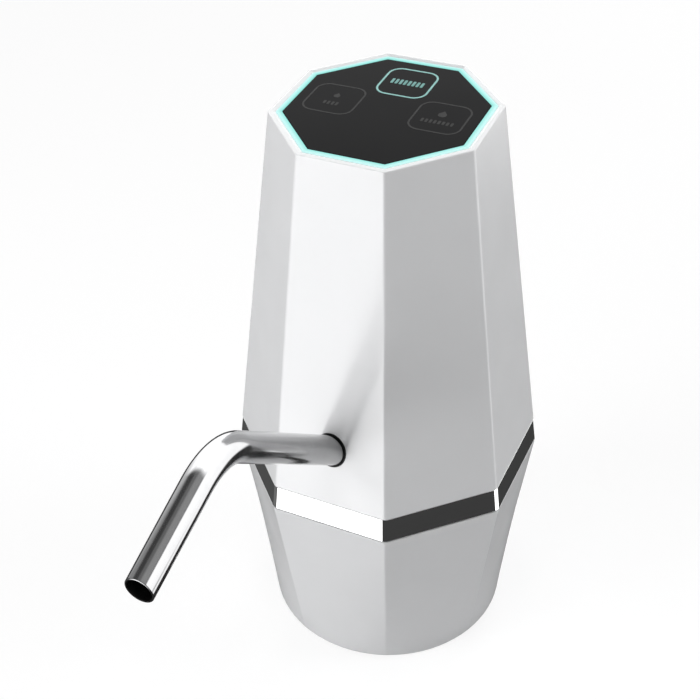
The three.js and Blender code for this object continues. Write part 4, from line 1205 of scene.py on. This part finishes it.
# Name, azimuth, elevation and power in watts
LAMPS = (
    ("key_low", -22.0, 8.0, 5.6),
    ("left_low", -45.0, 8.0, 3.4),
    ("left_high", -45.0, 40.0, 4.15),
    ("overhead", 0.0, 85.0, 6.3),
    ("right_low", 118.0, 8.0, 6.15),
    ("right_high", 110.0, 40.0, 2.85),
    ("rear", 180.0, 25.0, 3.7),
)


def soft_lamp(name, azimuth, elevation, power):
    """A softbox that faces the pump and isn't seen in reflections."""
    lamp = bpy.data.lights.new(name, "AREA")
    lamp.shape = "RECTANGLE"
    lamp.size = LAMP_SIZE
    lamp.size_y = LAMP_SIZE
    lamp.energy = power
    obj = bpy.data.objects.new(name, lamp)
    bpy.context.scene.collection.objects.link(obj)
    direction = Vector(toward(azimuth, elevation))
    obj.location = Vector(LAMP_AIM) + direction * LAMP_DISTANCE
    obj.rotation_euler = direction.to_track_quat("Z", "Y").to_euler()
    obj.visible_glossy = False


for lamp_row in LAMPS:
    soft_lamp(*lamp_row)


# World: a faint plain light, a pale background for the camera and a studio for reflections

PLAIN_LIGHT = 0.01
WALL_LIGHT = 2.6
FRONT_LIGHT = 3.1
CEILING_LIGHT = 1.2


def world_sky():
    world = bpy.data.worlds.new("world")
    bpy.context.scene.world = world
    world.use_nodes = True
    tree = world.node_tree
    tree.nodes.clear()
    direction = tree.nodes.new("ShaderNodeTexCoord").outputs["Generated"]

    def math_node(operation, first, second=None, third=None):
        made = tree.nodes.new("ShaderNodeMath")
        made.operation = operation
        for i, value in enumerate((first, second, third)):
            if value is None:
                continue
            if isinstance(value, (int, float)):
                made.inputs[i].default_value = value
            else:
                tree.links.new(value, made.inputs[i])
        return made.outputs[0]

    def step(source, low, high, strength=1.0):
        """Zero below low, strength above high and a soft edge between."""
        edge = tree.nodes.new("ShaderNodeMapRange")
        edge.interpolation_type = "SMOOTHSTEP"
        edge.inputs["From Min"].default_value = low
        edge.inputs["From Max"].default_value = high
        edge.inputs["To Min"].default_value = 0.0
        edge.inputs["To Max"].default_value = strength
        tree.links.new(source, edge.inputs["Value"])
        return edge.outputs["Result"]

    def lobe(azimuth, elevation, inner, outer, strength):
        """A round soft panel of light, full within inner degrees and gone at outer."""
        aim = tree.nodes.new("ShaderNodeVectorMath")
        aim.operation = "DOT_PRODUCT"
        aim.inputs[1].default_value = toward(azimuth, elevation)
        tree.links.new(direction, aim.inputs[0])
        gone = math.cos(math.radians(outer))
        full = math.cos(math.radians(inner))
        return step(aim.outputs["Value"], gone, full, strength)

    axes = tree.nodes.new("ShaderNodeSeparateXYZ")
    tree.links.new(direction, axes.inputs[0])
    east, north, height = axes.outputs["X"], axes.outputs["Y"], axes.outputs["Z"]

    # Dark near the floor, mid grey overhead and darker high on the left
    total = math_node("ADD", step(height, -0.25, 0.75, 0.26), 0.06)
    total = math_node("SUBTRACT", total, lobe(-93.0, 56.0, 6.0, 22.0, 0.2))
    # A pale wall behind the pump, whose foot is lower on the right
    wall_foot = math_node("MULTIPLY_ADD", east, 0.195, height)
    wall = math_node("MULTIPLY", step(north, 0.16, 0.34), step(wall_foot, -0.33, -0.2))
    wall = math_node("MULTIPLY", wall, step(east, -1.05, -0.75))
    # A softbox on the right, of two rounds that overlap
    wall = math_node("MAXIMUM", wall, lobe(105.0, 10.0, 32.0, 38.0, 1.0))
    wall = math_node("MAXIMUM", wall, lobe(115.0, -19.0, 15.0, 21.0, 1.0))
    total = math_node("MULTIPLY_ADD", wall, WALL_LIGHT, total)
    # A softbox low in front, on the left
    total = math_node("ADD", total, lobe(-22.0, -14.0, 18.0, 34.0, FRONT_LIGHT))
    # Faint panels on the left, a dark one low on the right and a faint one high on the right
    total = math_node("ADD", total, lobe(-106.0, 12.0, 14.0, 30.0, 0.3))
    total = math_node("ADD", total, lobe(-107.0, -31.0, 10.0, 26.0, 0.035))
    total = math_node("ADD", total, lobe(-62.0, -27.0, 6.0, 16.0, 0.14))
    total = math_node("SUBTRACT", total, lobe(106.0, -22.0, 6.0, 12.0, 1.7))
    total = math_node("ADD", total, lobe(90.0, 68.0, 10.0, 26.0, 0.3))
    # A lit ceiling over the back
    ceiling = math_node("MULTIPLY", step(north, 0.2, 0.4), step(height, 0.76, 0.86))
    total = math_node("MULTIPLY_ADD", ceiling, CEILING_LIGHT, total)
    studio = tree.nodes.new("ShaderNodeBackground")
    tree.links.new(total, studio.inputs["Strength"])
    plain = tree.nodes.new("ShaderNodeBackground")
    plain.inputs["Color"].default_value = grey(1.0)
    plain.inputs["Strength"].default_value = PLAIN_LIGHT
    pale = tree.nodes.new("ShaderNodeBackground")
    pale.inputs["Color"].default_value = grey(BACKGROUND)
    path = tree.nodes.new("ShaderNodeLightPath")
    glossy = tree.nodes.new("ShaderNodeMixShader")
    shiny = math_node("MAXIMUM", path.outputs["Is Glossy Ray"], path.outputs["Is Transmission Ray"])
    tree.links.new(shiny, glossy.inputs["Fac"])
    tree.links.new(plain.outputs[0], glossy.inputs[1])
    tree.links.new(studio.outputs[0], glossy.inputs[2])
    seen = tree.nodes.new("ShaderNodeMixShader")
    tree.links.new(path.outputs["Is Camera Ray"], seen.inputs["Fac"])
    tree.links.new(glossy.outputs[0], seen.inputs[1])
    tree.links.new(pale.outputs[0], seen.inputs[2])
    output = tree.nodes.new("ShaderNodeOutputWorld")
    tree.links.new(seen.outputs[0], output.inputs["Surface"])


world_sky()
bpy.context.scene.view_settings.view_transform = "Standard"
